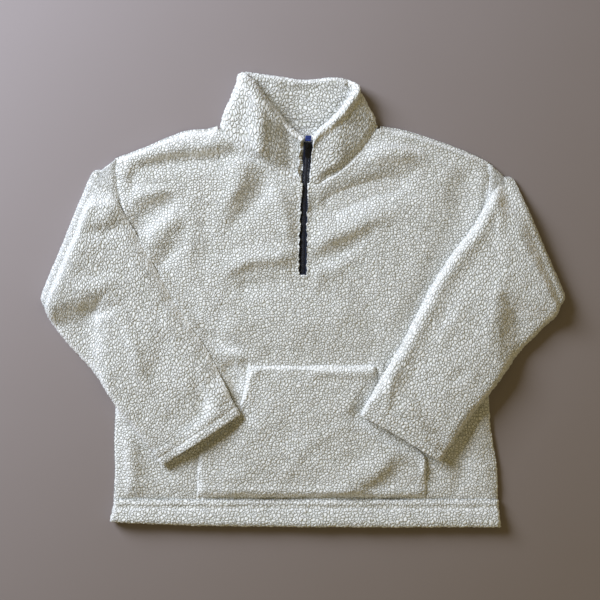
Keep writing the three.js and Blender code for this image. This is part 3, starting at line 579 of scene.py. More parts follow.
# The points of each fold's line, then its half width, height (negative for a trough) and lean
frontFolds = [
    [[(-267, 185), (-242, 202), (-206, 215), (-163, 221), (-119, 226), (-92, 230)], 14, 5.0, -0.3],
    [[(-235, 190), (-192, 197), (-141, 200), (-93, 208)], 12, -3.8, 0.3],
    [[(-262, 191), (-258, 166), (-252, 144)], 8, 2.0, 0.0],
    [[(-245, 186), (-242, 159)], 9, -2.4, 0.0],
    [[(-82, 208), (-89, 185), (-99, 159), (-122, 112)], 17, 5.0, 0.2],
    [[(-50, 192), (-58, 162), (-78, 134), (-104, 98)], 16, -4.4, 0.0],
    [[(-42, 170), (-26, 123), (-14, 80)], 12, 3.2, 0.0],
    [[(-178, 150), (-218, 124), (-250, 91)], 14, -4.6, 0.0],
    [[(-179, 160), (-223, 150), (-266, 137)], 11, 3.6, 0.0],
    [[(-170, 128), (-203, 98), (-234, 70)], 13, 3.4, 0.0],
    [[(-176, 80), (-199, 59), (-215, 38)], 11, -3.0, 0.0],
    [[(-112, 40), (-76, 56), (-39, 61), (-4, 62)], 13, 5.2, -0.3],
    [[(-98, 18), (-58, 20), (-16, 30)], 14, -3.0, 0.0],
    [[(-158, 142), (-160, 101), (-166, 40)], 12, 1.4, 0.0],
    [[(-140, 128), (-137, 86), (-141, 40)], 12, -1.4, 0.0],
    [[(18, 130), (62, 147), (110, 163), (168, 178)], 18, -8.0, 0.2],
    [[(26, 168), (56, 187), (80, 206)], 13, 2.6, 0.0],
    [[(92, 204), (124, 209), (166, 206)], 13, 5.6, -0.2],
    [[(14, 76), (48, 93), (74, 105), (128, 128)], 14, 4.6, -0.3],
    [[(16, 57), (50, 68), (96, 92)], 13, -3.4, 0.0],
    [[(12, 38), (35, 39), (64, 51)], 10, 2.2, 0.0],
    [[(20, 12), (48, 10)], 12, -2.0, 0.0],
    [[(118, 241), (180, 228), (235, 207), (264, 192)], 8, 2.6, 0.0],
    [[(145, 226), (186, 215), (243, 190)], 9, -2.0, 0.0],
    [[(244, 194), (232, 162), (218, 108)], 18, -4.4, 0.0],
    [[(-250, -172), (-244, -232), (-240, -290)], 12, 4.2, 0.0],
    [[(232, -208), (224, -280)], 15, -4.0, 0.0],
    [[(-78, -73), (-112, -61), (-144, -42)], 9, -2.6, 0.0],
    [[(-132, -75), (-78, -85)], 9, 3.0, 0.0],
    [[(-112, -90), (-99, -108), (-92, -132)], 10, -4.4, 0.0],
    [[(-60, -6), (-20, -34), (30, -40)], 22, 1.8, 0.0],
    [[(84, 10), (104, -40), (96, -84)], 20, -2.0, 0.0],
    [[(-110, -10), (-96, -52)], 16, 1.6, 0.0],
    [[(176, 60), (150, 10), (128, -20)], 18, 1.8, 0.0],
]
pocketOutline = [[-153, -284], [178, -284], [178, -226], [106, -94], [-79, -94], [-150, -220]]


def topEdge(side, across, isFront):
    share = body["neckShare"]
    shoulder = curveAt(side["shoulder"], np.clip((across - share) / (1 - share), 0, 1))
    t = np.clip(across / share, 0, 1)
    end = np.array(side["shoulder"][0], float)
    if not isFront:
        neck = np.stack([mix(0, end[0], t), np.full_like(t, backNeckY)], -1)
    else:
        seat = t * lastLeftFront if side["sign"] < 0 else 1 - t * (1 - firstRightFront)
        point = curveAt(collarRows["seam"], seat)[:, :2]
        step = 1e-3
        ahead = (curveAt(collarRows["seam"], np.clip(seat + step, 0, 1))
                 - curveAt(collarRows["seam"], np.clip(seat - step, 0, 1)))
        turned = np.stack([-ahead[:, 1], ahead[:, 0]], -1)
        neck = point - 1.5 * turned / np.linalg.norm(turned, axis=1, keepdims=True)
        neck[:, 0] = mix(slotEdge(side, frontNeckY), neck[:, 0], np.minimum(1, t * 12))
        neck = mix(neck, end - [0, 4.5], smooth(t, 0.75, 1)[:, None])
    return np.where((across > share)[:, None], shoulder, neck)


def armholePoint(side, t, out):
    top, bottom, bow = (side["armhole"][k] for k in ("top", "bottom", "bow"))
    x = mix(top[0], bottom[0], t) + bow * np.sin(np.pi * t) + side["sign"] * out
    return np.stack([x, mix(top[1], bottom[1], t)], -1)


def flankEdge(side, up):
    share = body["armholeShare"]
    low = curveAt(side["flank"], np.clip(up / share, 0, 1))
    high = armholePoint(side, np.clip((1 - up) / (1 - share), 0, 1), 0)
    return np.where((up <= share)[:, None], low, high)


def panelHalf(side, across, up, isFront):
    # the line from the hem to the top edge at each `across`, bent to the flank by across squared
    start = slotEdge(side, hemSeamY) if isFront else 0.0
    low = np.stack([mix(start, side["flank"][0][0], across), np.full_like(across, hemSeamY)], -1)
    high = topEdge(side, across, isFront)
    flank = flankEdge(side, up)
    ends = flankEdge(side, np.array([0.0, 1.0]))
    straight = mix(ends[0], ends[1], up[:, None])
    grid = mix(low[None], high[None], up[:, None, None])
    grid = grid + (flank - straight)[:, None] * (across ** 2)[None, :, None]
    if isFront:
        inner = mix(start, slotEdge(side, frontNeckY), up)[:, None]
        grid[..., 0] += (slotEdge(side, grid[..., 1]) - inner) * np.maximum(0, 1 - across / 0.2)
    return grid


def clearOfCover(x, y, near, far):
    # 1 where nothing lies on the front, 0 under the sleeves and the pocket
    return openToView(x, y, near, far) * smooth(outsideOf(pocketOutline, x, y), near - 2, far - 2)


def frontLift(x, y, a, u):
    # how far the front stands up between its edges: a slow rise, its folds and what presses on it
    fromZip = np.abs(x - zipAt(y)) + np.maximum(0, 20 - y)
    free = clearOfCover(x, y, 6, 40) * smooth(fromZip, 4, 30)
    fade = smooth(u, 0, 0.06) * (1 - smooth(u, 0.93, 0.995)) * (1 - smooth(a, 0.9, 1))
    folds = body["foldStrength"] * foldHeight(frontFolds, x, y) * smooth(u, 0, 0.03)
    folds = folds * (1 - smooth(a, 0.92, 1))
    folds *= (1 - smooth(u, 0.984, 1)) * smooth(fromZip, 3, 15)
    # ridges stop at what lies on the front, troughs run on under it
    folds = np.where(folds > 0, folds * clearOfCover(x, y, 1, 15), folds * clearOfCover(x, y, -14, 0))
    # it swells up against the left sleeve, and where the right one presses on it beside the pocket
    swell = body["swell"] * bell(besideSleeve(sides["left"], x, y) - 2, 6) * smooth(u, 0.1, 0.2)
    swell += foldHeight([body["pressed"]], x, y)
    return body["baseLift"] * free * fade + folds + swell * (1 - smooth(a, 0.975, 1))


def frontPanel():
    step, wide, tall = 6, body["halfWidth"], body["height"]
    across = spread(wide, body["cell"], edgeRows, step)
    slotRow = (zipBottomY - hemSeamY) / (frontNeckY - hemSeamY)
    lower = spread(body["belowZip"], body["cell"], edgeRows, step) * slotRow
    upper = slotRow + spread(body["besideZip"], body["cell"], edgeRows, step) * (1 - slotRow)
    up = np.concatenate([lower[:-1], upper])
    left = panelHalf(sides["left"], across, up, True)[:, ::-1]
    right = panelHalf(sides["right"], across, up, True)
    bridge = mix(left[:, -1:], right[:, :1], np.linspace(0, 1, step + 1)[None, 1:-1, None])
    plan = np.concatenate([left, bridge, right], 1)
    x, y = plan[..., 0], plan[..., 1]
    a = np.concatenate([across[::-1], np.zeros(step - 1), across])[None]
    u = up[:, None]
    slotAway = np.hypot(a * wide, np.maximum(0, (slotRow - u) * tall))
    flankAway, seamAway = (1 - a) * wide, np.minimum(u, 1 - u) * tall
    sewnFlank = smooth(u, 0.6, 0.63)  # the armhole is sewn, the side below it is a rounded edge
    drop = np.maximum(edgeDrop(flankAway, 15) * (1 - sewnFlank) / 3, edgeDrop(slotAway, 0.9))
    onShoulder = smooth(a, body["neckShare"] - 0.02, body["neckShare"] + 0.06)
    fallWidth, fallen = body["shoulderFall"]
    drop = np.maximum(drop, edgeDrop((1 - u) * tall, fallWidth) * onShoulder * fallen / fallWidth)
    pinch = 1.5 * bell(seamAway, 2.4) + 0.8 * bell(flankAway, 3.0) * sewnFlank
    lift = frontLift(x, y, a, u)
    # a rib beside the armhole seam, and a full edge along the zip's slot
    rib = 0.7 * bell(flankAway - 7, 3.2) * sewnFlank
    welt = body["welt"] * bell(slotAway - 1.5, 4.0) * smooth(y, zipBottomY - 14, zipBottomY)
    top = np.stack([x, y, frontTop + lift - drop - pinch + rib + welt], -1)
    under = np.stack([x, y, frontUnder + 0.6 * np.maximum(lift, 0)], -1)
    # tufts along the slot hang unevenly over the tape
    edge = np.dstack([0 * x, y, 0 * x]).reshape(-1, 3)
    ragged = 0.6 + 1.5 * waves(edge, 4.2, body["seed"]["slot"]).reshape(x.shape)
    overhang = ragged * bell(slotAway, 2.6) * smooth(y, zipBottomY, zipBottomY + 4)
    top[..., 0] -= np.sign(x - zipAt(y)) * overhang
    # sewn edges reach a little way into their neighbours, so no gap shows between them
    reach = body["seamReach"]
    top[0, :, 1] -= reach
    top[-1, :, 1] += reach
    sewn = up > body["armholeShare"]
    top[sewn, 0, 0] -= reach
    top[sewn, -1, 0] += reach
    shown = mix(0.15, 1.0, clearOfCover(x, y, -4, 2))
    normals = gridNormals(top, False)
    moved, high = brushed(top, normals, shown, body["seed"]["front"])
    openCells = np.zeros((len(up) - 1, plan.shape[1] - 1), bool)
    openCells[len(lower) - 1:, len(across) - 1:len(across) - 1 + step] = True
    return shell("frontPanelFleece", moved, under, step, high, plan, openCells=openCells)


def backPanel():
    step, ends = 6, [0, 0.6, 1.6, 3.0]
    across = spread(body["halfWidth"], body["backCell"], ends, step)
    up = spread(body["backLength"], body["backCell"], ends, step)
    left = panelHalf(sides["left"], across, up, False)[:, ::-1]
    right = panelHalf(sides["right"], across, up, False)
    plan = np.concatenate([left, right[:, 1:]], 1)
    a = np.concatenate([across[::-1], across[1:]])[None]
    u = up[:, None]
    fromSeam = np.minimum(u, 1 - u) * body["backHeight"]
    rise = np.maximum(edgeDrop((1 - a) * body["halfWidth"], 3.5), edgeDrop(fromSeam, 2.0))
    # the surface presses the pile flat: shallow dimples only
    under = np.dstack([plan, np.minimum(3.5, rise) + 0.35])
    top = np.dstack([plan, np.full(plan.shape[:2], cloth)])
    normals = turnedTo(-1, gridNormals(under, False), len(up) // 2, plan.shape[1] // 2)
    moved, high = brushed(under, normals, np.full(plan.shape[:2], 0.35), body["seed"]["back"])
    return shell("backPanelFleece", moved, top, step, high, plan)


def flatSection(width, half, wall, flats):
    # round a flattened tube of each width: a half circle, a flat, a half circle and a flat.
    # Gives how far along the width and how far off its middle each point lies
    turn = np.pi * (0.5 + np.linspace(0, 1, 11))[None]
    share = np.linspace(0, 1, flats + 1)[None, 1:-1]
    width = width[:, None]
    one = np.ones_like(width)
    first = [half + half * np.cos(turn) * one, half * np.sin(turn) * one, turn * one]
    low = [mix(half, width - half, share), -half * one + 0 * share, -np.pi / 2 * one + 0 * share]
    second = [width - half - half * np.cos(turn), -half * np.sin(turn) * one, (turn + np.pi) * one]
    high = [mix(width - half, half, share), half * one + 0 * share, np.pi / 2 * one + 0 * share]
    along, off, angle = (np.concatenate(parts, 1) for parts in zip(first, low, second, high))
    inner = (along - wall * np.cos(angle), off - wall * np.sin(angle))
    return (along, off), inner


def acrossTube(along, width, start, end):
    # how far across its width each point of a tube lies, as a share, and where that is on the plan
    share = along / width
    return share, mix(start[:, None], end[:, None], share[..., None])


# Columns of a flattened tube: one on its first flat, and those from which its cloth is measured
lowFlat, sleeveCentre, hemCentre = 60, 65, 605


def tubeShell(name, outside, lining, step, seed, centre, showing, up=1):
    # a flattened tube and its pile: showing tells from how far a face looks up how much of it shows
    normals = turnedTo(up, gridNormals(outside, True), len(outside) // 2, lowFlat)
    moved, high = brushed(outside, normals, showing(normals[..., 2]), seed)
    places = clothPlaces(outside, True, centre)
    return shell(name, moved, lining, step, high, places, closed=True)


def tubeShows(facing):
    return smooth(facing, -0.75, -0.1)


def restHeight(side, x, y):
    # what a folded sleeve lies on: its own upper half and the body, sloping down past their edges
    out = x * side["sign"]
    flank = abs(side["flank"][3][0]) + 6
    top, bottom = side["foldLine"]
    stubX, stubY = side["armhole"]["bottom"]
    slope = (bottom[1] - stubY) / (bottom[0] - stubX)
    below = stubY + slope * (x - stubX) - y - 2
    pastEdge = np.minimum(out - flank, below)
    nearFold = smooth(out, flank - 75, abs(top[0]) - 20)
    level = mix(frontTop + 0.4, 2 * sleeveHalf + foldGap, nearFold)
    pocketRise = (cloth + 1.2) * (1 - smooth(outsideOf(pocketOutline, x, y), 8, 34))
    return level * (1 - smooth(pastEdge, 0, 36)) + pocketRise


# Sleeves: how full the upper side stands, how wide and how far it falls to its fold and to its
# upper and lower edges, the rolls along them, each with its distance from the edge, half width and
# height, and the soft folds as for the front
sleeves = {
    "length": 345,  # mm from the fold to the cuff's seam
    "stubRows": 36, "turnRows": 29, "cell": 1.55,
    "seed": {"left": 31, "right": 37},
    "crown": 3.0,
    "tilt": {"left": 0.0, "right": 11.0},  # how much higher the lower edge lies
    "foldStrength": 1.45,
    "cornerPress": 0.68,  # share of its height that the folded corner at the shoulder loses
    "cornerReach": 70.0, "cornerRound": 15,
    "foldFall": {"left": [20, 10.5], "right": [10, 1.5]},
    "edgeFall": {"left": [[26, 3.0], [15, 4.0]], "right": [[16, 5.5], [10, 2.4]]},
    "thinEdge": {"left": 0.45, "right": 1.0},  # share of the thickness left at the edge on the body
    "foldRoll": {"left": [[24, 32, 8.0]], "right": [[40, 40, 2.0]]},
    "overRoll": {"left": [[12, 9, 1.0]], "right": [[13, 10, 3.4], [38, 13, -1.6]]},
    "underRoll": {"left": [[9, 8, 1.6]], "right": [[10, 9, 1.5]]},
    "left": [
        [[(-314, 132), (-287, 134), (-259, 134)], 10, 2.6, 0.0],
        [[(-316, 96), (-283, 98), (-240, 108)], 13, -4.8, 0.0],
        [[(-328, 14), (-300, 16), (-262, 30)], 12, 3.0, 0.0],
        [[(-322, -14), (-298, -18), (-262, -6)], 11, -3.2, 0.0],
        [[(-252, -32), (-238, -73), (-232, -108)], 10, 2.6, 0.0],
        [[(-199, -42), (-206, -104)], 12, -2.2, 0.0],
        [[(-152, -103), (-144, -143), (-139, -176)], 10, -2.8, 0.0],
        [[(-196, -162), (-153, -193)], 10, -2.2, 0.0],
    ],
    "right": [
        [[(288, 48), (274, -1), (260, -56)], 11, 2.2, 0.0],
        [[(326, 25), (300, -27), (281, -80)], 13, -1.9, 0.0],
        [[(283, 139), (280, 84)], 7, 2.2, 0.0],
        [[(232, 10), (214, -28), (190, -66)], 11, 1.8, 0.0],
        [[(240, -98), (208, -118)], 10, -2.0, 0.0],
        [[(126, -112), (118, -160)], 7, 2.2, 0.0],
    ],
}


def rolls(rows, distance):
    # a bell at each distance from an edge
    return sum(height * bell(distance - place, width) for place, width, height in rows)


def thinner(sideName, distance):
    # how much of the thickness is left at a distance from the edge that lies on the body
    return mix(sleeves["thinEdge"][sideName], 1.0, smooth(distance, -6, 30))


def foldEnds(side):
    return [np.array(p, float) for p in side["foldLine"]]


def layStub(side, s, off, stub):
    # lying on the surface from the armhole to the fold, with a soft pinch at the seam
    start = armholePoint(side, s, 0.0)
    axis = mix(*foldEnds(side), s[..., None])
    fromSeam = stub[:, None] * np.linalg.norm(start - axis, axis=2)
    seam = 3.4 * smooth(fromSeam, 1, 9) - 1.6 * bell(fromSeam, 2.6)
    plan = mix(start, axis, stub[:, None, None])
    return np.dstack([plan, sleeveHalf + off + seam * np.clip(off / sleeveHalf, 0, 1)])


def layTurn(sideName, along, off, width, turnAt):
    # round the fold, half a turn about its line, its upper face falling to the outer edge
    top, bottom = foldEnds(sides[sideName])
    outward = np.array([top[1] - bottom[1], bottom[0] - top[0]]) / np.linalg.norm(top - bottom)
    outward *= np.sign(outward[0]) * sides[sideName]["sign"]
    turn = (np.pi * turnAt)[:, None]
    radius = sleeveHalf + foldGap / 2
    fromCorner = np.clip(np.minimum(along, width - along) / sleeves["cornerRound"], 0, 1)
    corner = np.sqrt(1 - (1 - fromCorner) ** 2)
    plan = mix(top, bottom, (along / width)[..., None])
    plan += outward * ((radius - off) * np.sin(turn) * corner)[..., None]
    wide, deep = sleeves["foldFall"][sideName]
    edgeOut = radius + sleeveHalf
    low = deep * np.where(turn < np.pi / 2, 1 - np.cos(turn),
                          1 - smooth(edgeOut * (1 - np.sin(turn)), 0, edgeOut + wide))
    level = sleeveHalf + radius * (1 - np.cos(turn)) + off * np.cos(turn)
    return np.dstack([plan, level - low * np.clip(-off / sleeveHalf, 0, 1)])


def armRise(sideName, s, x, y, down, fromOver, fromUnder):
    # how far the upper face stands off its plain thickness, from the fold down to the cuff
    fromFold, toCuff = down * sleeves["length"], sleeves["length"] * (1 - down)
    full = np.clip(4 * s * (1 - s), 0, 1) ** 0.55
    ends = 1 - smooth(down, 0.9, 1)
    crown = sleeves["crown"] + sleeves["tilt"][sideName] * s
    rise = full * (mix(cuffs["crown"], crown, ends) * smooth(down, 0, 0.12)
                   + sleeves["foldStrength"] * foldHeight(sleeves[sideName], x, y)
                   + rolls(sleeves["foldRoll"][sideName], fromFold) * smooth(fromFold, -1, 12))
    edges = (rolls(sleeves["overRoll"][sideName], fromOver)
             + rolls(sleeves["underRoll"][sideName], fromUnder))
    rise = rise + edges * smooth(fromFold, 4, 40) * mix(0.45, 1, ends)
    wide, deep = sleeves["foldFall"][sideName]
    edgeOut = 2 * sleeveHalf + foldGap / 2
    rise = rise - deep * (1 - smooth(fromFold + edgeOut, 0, edgeOut + wide))
    for distance, (reached, fallen) in zip((fromOver, fromUnder), sleeves["edgeFall"][sideName]):
        rise = rise - edgeDrop(distance, reached) * fallen / reached
    return rise - 0.5 * bell(toCuff, 2.2)


def layArm(sideName, along, off, width, over, under, down):
    # back over the front, down to the cuff
    s, plan = acrossTube(along, width, over, under)
    x, y = plan[..., 0], plan[..., 1]
    rise = armRise(sideName, s, x, y, down, along, width - along)
    left = mix(1, thinner(sideName, along), smooth(down * sleeves["length"], 0, 30))
    level = restHeight(sides[sideName], x, y) + (sleeveHalf - off) * left
    return np.dstack([plan, level + np.clip(-off / sleeveHalf, 0, 1) * rise])


def sleeve(sideName):
    side = sides[sideName]
    step = 6
    reach = np.linalg.norm(np.subtract(*foldEnds(side)))
    stub = np.linspace(0, 1, sleeves["stubRows"], endpoint=False)
    turnAt = np.linspace(0, 1, sleeves["turnRows"])
    count = len(spread(sleeves["length"], sleeves["cell"], [0, 0.8, 2.0], 1))
    # as many more rows as make the number of steps whole
    count += -(len(stub) + len(turnAt) + count - 2) % step
    down = np.linspace(0, 1, count)[1:]
    armWidth = np.linalg.norm(np.subtract(side["armhole"]["top"], side["armhole"]["bottom"]))
    over = curveAt([side["foldLine"][0]] + side["over"], down)
    under = curveAt([side["foldLine"][1]] + side["under"], down)
    width = np.concatenate([
        mix(armWidth, reach, stub), np.full(len(turnAt), reach), np.linalg.norm(over - under, axis=1),
    ])[:, None]
    outer, inner = flatSection(width[:, 0], sleeveHalf, cloth, 110)
    stubEnd, turnEnd = len(stub), len(stub) + len(turnAt)

    def laid(section):
        along, off = section
        grid = np.vstack([
            layStub(side, (along / width)[:stubEnd], off[:stubEnd], stub),
            layTurn(sideName, along[stubEnd:turnEnd], off[stubEnd:turnEnd], width[stubEnd:turnEnd], turnAt),
            layArm(sideName, along[turnEnd:], off[turnEnd:], width[turnEnd:], over, under, down[:, None]),
        ])
        # the folded corner at the shoulder is pressed flat
        beside = np.zeros(along.shape)
        beside[turnEnd:] = down[:, None] * sleeves["length"]
        pressed = (1 - smooth(along, 0, sleeves["cornerReach"])) * (1 - smooth(beside, 5, 50))
        pressed[:stubEnd] *= mix(0.35, 1, stub[:, None])
        grid[..., 2] *= 1 - sleeves["cornerPress"] * pressed
        return grid

    def showing(facing):
        # the pile is pressed round the fold, and fades out into the armhole's seam
        rows = np.arange(len(width))[:, None]
        shown = np.where(rows < turnEnd, np.maximum(tubeShows(facing), 0.4), tubeShows(facing))
        return shown * (1 - 0.7 * bell(rows - turnEnd + 5, 9.0)) * smooth(rows, -2, 4)

    return tubeShell(sideName + "SleeveFleece", laid(outer), laid(inner), step,
                     sleeves["seed"][sideName], sleeveCentre, showing)


# Cuffs: the sleeve's end turned in and stitched, with the distance of each seam from the sleeve and
# its depth as lines
cuffs = {
    "length": 27, "half": 6.7, "wall": 5.6, "cell": 1.15, "crown": 3.2,
    "endPress": 0.9,  # share of its thickness left at the end
    "endRoll": 0.9, "lines": [[0.8, 0.5], [13.5, 0.9]],
    "seed": {"left": 41, "right": 43},
}


def cuffEdges(side, share):
    # points on the cuff's upper and lower edge, at shares of the way from its seam to its end
    starts = (side["over"][-1], side["under"][-1])
    return [mix(np.array(a, float), np.array(b, float), share) for a, b in zip(starts, side["cuffEnd"])]


def cuff(sideName):
    side = sides[sideName]
    step, length = 5, cuffs["length"]
    t = spread(length, cuffs["cell"], edgeRows, step)
    over, under = cuffEdges(side, mix(-0.03, 1, t)[:, None])
    width = np.linalg.norm(over - under, axis=1)
    half = cuffs["half"]
    outer, inner = flatSection(width, half, cuffs["wall"], 115)

    def laid(section, isOuter):
        along, off = section
        s, plan = acrossTube(along, width[:, None], over, under)
        x, y = plan[..., 0], plan[..., 1]
        upperSide = np.clip(-off / half, 0, 1)
        full = np.clip(4 * s * (1 - s), 0, 1) ** 0.7
        pressed = mix(1, cuffs["endPress"], smooth(t, 0.15, 1))[:, None]
        thick = (half - off) * thinner(sideName, along) * pressed
        grid = np.dstack([plan, restHeight(side, x, y) + thick])
        if isOuter:
            distance = t[:, None] * length
            rounded = 0.35 * edgeDrop(length - distance, 3.0)
            rounded = rounded - cuffs["endRoll"] * bell(22 - distance, 5.0)
            pinch = sum(depth * bell(distance - place, 2.3) for place, depth in cuffs["lines"])
            grid[..., 2] += upperSide * (cuffs["crown"] * full - rounded - pinch)
        return grid

    return tubeShell(sideName + "CuffFleece", laid(outer, True), laid(inner, False), step,
                     cuffs["seed"][sideName], sleeveCentre, tubeShows)


# Hem band: a doubled strip sewn round the lower edge, with a stitched rib at its seam
hem = {
    "height": 36, "cell": 1.35, "half": 6.4, "rib": 0.9, "crown": 6.5,
    "seamAt": 9.2, "seamDepth": 0.9,  # mm from the upper edge to the line of stitches, and how deep
    "ripple": [26.0, 0.9],  # mm, size and height of the slow waves below it
    "sag": 6, "seed": {"pile": 53, "ripple": 5},
    "left": [[-272, -288.4], [-274, -300], [-277, -313], [-278, -319]],
    "right": [[283, -288.4], [284, -301], [285, -315], [286, -327]],
}


def hemSag(t, s):
    # how far the band hangs down, sag t sin(pi/2 min(1, 2.2 s)) (1 - s): up as a quarter sine from
    # the left, then evenly to nothing at the right
    return hem["sag"] * t * np.sin(np.pi * np.minimum(1, 2.2 * s) / 2) * (1 - s)


def hemBand():
    step, height = 5, hem["height"]
    t = spread(height, hem["cell"], edgeRows, step)
    a, b = curveAt(hem["left"], t), curveAt(hem["right"], t)
    width = np.linalg.norm(a - b, axis=1)
    half = hem["half"]
    outer, inner = flatSection(width, half, half - 0.5, 390)

    def laid(section, isOuter):
        along, off = section
        s, plan = acrossTube(along, width[:, None], a, b)
        plan[..., 1] -= hemSag(t[:, None], s)
        grid = np.dstack([plan, half + off])
        if isOuter:
            upperSide = np.clip(off / half, 0, 1)
            distance = t[:, None] * height
            rib = hem["rib"] * bell(distance - 4.2, 3.6)
            rib -= hem["seamDepth"] * bell(distance - hem["seamAt"], 2.6)
            rounded = 0.5 * edgeDrop(height - distance, 10)
            flat = np.dstack([plan, 0 * s]).reshape(-1, 3)
            size, reach = hem["ripple"]
            ripple = reach * waves(flat, size, hem["seed"]["ripple"]).reshape(s.shape)
            level = -1.2 * (1 - smooth(distance, 0, 4)) + ripple * smooth(distance, 8, 16)
            crown = hem["crown"] * smooth(t, 0.1, 0.75)[:, None]
            grid[..., 2] += upperSide * (rib - rounded + level + crown)
            grid[..., 2] += np.clip(-off / half, 0, 1) * 0.8 * rounded
            grid[..., 1] += np.where(distance < 0.01, 1.2, 0) * upperSide
        return grid

    def showing(facing):
        return mix(0.3, 1.0, smooth(facing, -0.8, -0.2))

    return tubeShell("hemBandFleece", laid(outer, True), laid(inner, False), step,
                     hem["seed"]["pile"], hemCentre, showing, up=-1)


# Pocket: a pouch with a turned and stitched band along each hand opening
pouch = {
    "width": 300, "height": 190, "lowWidth": 331, "topWidth": 185, "cell": 1.4,
    "bow": 20,  # mm that each hand opening curves inwards
    "bandHeight": 4.8, "bandWidth": 11, "crown": 3.0, "foldStrength": 1.3, "seed": 61,
}
pocketFolds = [
    [[(40, -281), (76, -262), (106, -243), (142, -214)], 16, 4.8, -0.2],
    [[(84, -284), (120, -264), (158, -234)], 16, -1.5, 0.0],
    [[(-124, -250), (-92, -260), (-56, -268)], 14, 1.8, 0.0],
    [[(-18, -247), (11, -204), (62, -182)], 10, 1.6, 0.0],
    [[(-64, -186), (-14, -214)], 16, -1.8, 0.0],
    [[(-40, -120), (60, -136)], 20, 1.4, 0.0],
]


def pocketEdges(up):
    # the left and right edge at each height: straight below the hand opening, bowed inwards along it
    lowLeft, lowRight, midRight, highRight, highLeft, midLeft = (np.array(p, float) for p in pocketOutline)
    bend = (midLeft[1] - lowLeft[1]) / (highLeft[1] - lowLeft[1])

    def edgeAt(low, mid, high):
        climb = np.clip((up - bend) / (1 - bend), 0, 1)[:, None]
        upper = mix(mid, high, climb)
        upper[:, 0] += np.sign(high[0] - mid[0]) * pouch["bow"] * np.sin(np.pi * climb[:, 0])
        lower = mix(low, mid, np.clip(up / bend, 0, 1)[:, None])
        return np.where((up < bend)[:, None], lower, upper)

    return edgeAt(lowLeft, midLeft, highLeft), edgeAt(lowRight, midRight, highRight), bend


def pocketWidth(up, bend):
    return mix(pouch["lowWidth"], pouch["topWidth"], smooth(up, bend, 1))


def pocketPatch():
    step, ends, tall = 6, [0, 0.4, 1.0, 1.9], pouch["height"]
    across = spread(pouch["width"], pouch["cell"], ends, step)
    up = spread(tall, pouch["cell"], ends, step)
    left, right, bend = pocketEdges(up)
    plan = mix(left[:, None], right[:, None], across[None, :, None])
    x, y = plan[..., 0], plan[..., 1]
    a, u = across[None], up[:, None]
    sideAway = np.minimum(a, 1 - a) * pocketWidth(u, bend)
    topAway, lowAway = (1 - u) * tall, u * tall
    edge = np.minimum(sideAway, np.minimum(u, 1 - u) * tall)
    turned = np.minimum(sideAway, topAway)
    shownSide = openToView(x, y, 2, 22)
    # the turned bands stand up as soft ribs that fall off slowly inwards
    opening = smooth(u, 0.1, 0.25)
    toRight = smooth(a, 0.45, 0.55)
    wide = pouch["bandWidth"]
    leftBand = smooth(sideAway, 0, wide) - 0.5 * smooth(sideAway, wide, 2 * wide)
    rightBand = bell(sideAway - 4.5, 4.5)
    topBand = smooth(topAway, 0, wide) - 0.45 * smooth(topAway, wide, 2 * wide)
    rib = pouch["bandHeight"] * np.minimum(topBand, mix(leftBand, 1, np.maximum(toRight, 1 - opening)))
    rib += 0.7 * pouch["bandHeight"] * rightBand * opening * toRight
    rib *= mix(1, smooth(sideAway, -2, 10), 1 - opening) * smooth(lowAway, -3, 8)
    sidePinch = 0.7 * bell(sideAway - 6.0, 2.6) * (1 - opening)
    lowRib = 1.8 * bell(lowAway - 11, 6.0)
    folds = pouch["foldStrength"] * foldHeight(pocketFolds, x, y) * smooth(edge, 2, 12)
    crown = pouch["crown"] * smooth(turned, 8, 70) * smooth(lowAway, 3, 50)
    height = (rib + lowRib - sidePinch + crown + folds) * shownSide
    base = frontTop + seamGap
    sewn = np.maximum(edgeDrop(lowAway, 9), edgeDrop(sideAway, 11) * (1 - opening)) * 0.34
    fall = np.maximum(edgeDrop(turned, 7) * 0.55 * smooth(u, 0.04, 0.25), sewn)
    top = np.dstack([plan, base + cloth - 1.4 + height - fall])
    under = np.dstack([plan, np.full(x.shape, base - 1.0)])
    shown = openToView(x, y, -6, 0)
    moved, high = brushed(top, gridNormals(top, False), mix(0.2, 1, shown), pouch["seed"])
    return shell("pouchPocketFleece", moved, under, step, high, plan)


# Collar, with folds as for the front drawn on what faces up
band = {
    "length": 560, "height": 78, "cell": 1.35, "upCell": 1.3,
    "wall": 10.5, "neckRoll": 3.5, "neckSag": 8.0, "rimFall": 5.0, "foldStrength": 1.15,
    "seed": {"inside": 71, "outside": 73},
    "folds": [
        [[(-64, 300), (-62, 246), (-62, 186)], 15, 7.4, 0.25],
        [[(-50, 290), (-48, 240), (-46, 180)], 24, 4.0, 0.0],
        [[(-18, 262), (-12, 217), (-10, 164)], 21, -10.5, 0.0],
        [[(-76, 292), (-80, 254), (-83, 216)], 9, -1.8, 0.0],
        [[(54, 250), (50, 205), (28, 158)], 17, 3.8, 0.2],
        [[(92, 290), (88, 240), (66, 198)], 20, 1.6, 0.0],
    ],
}


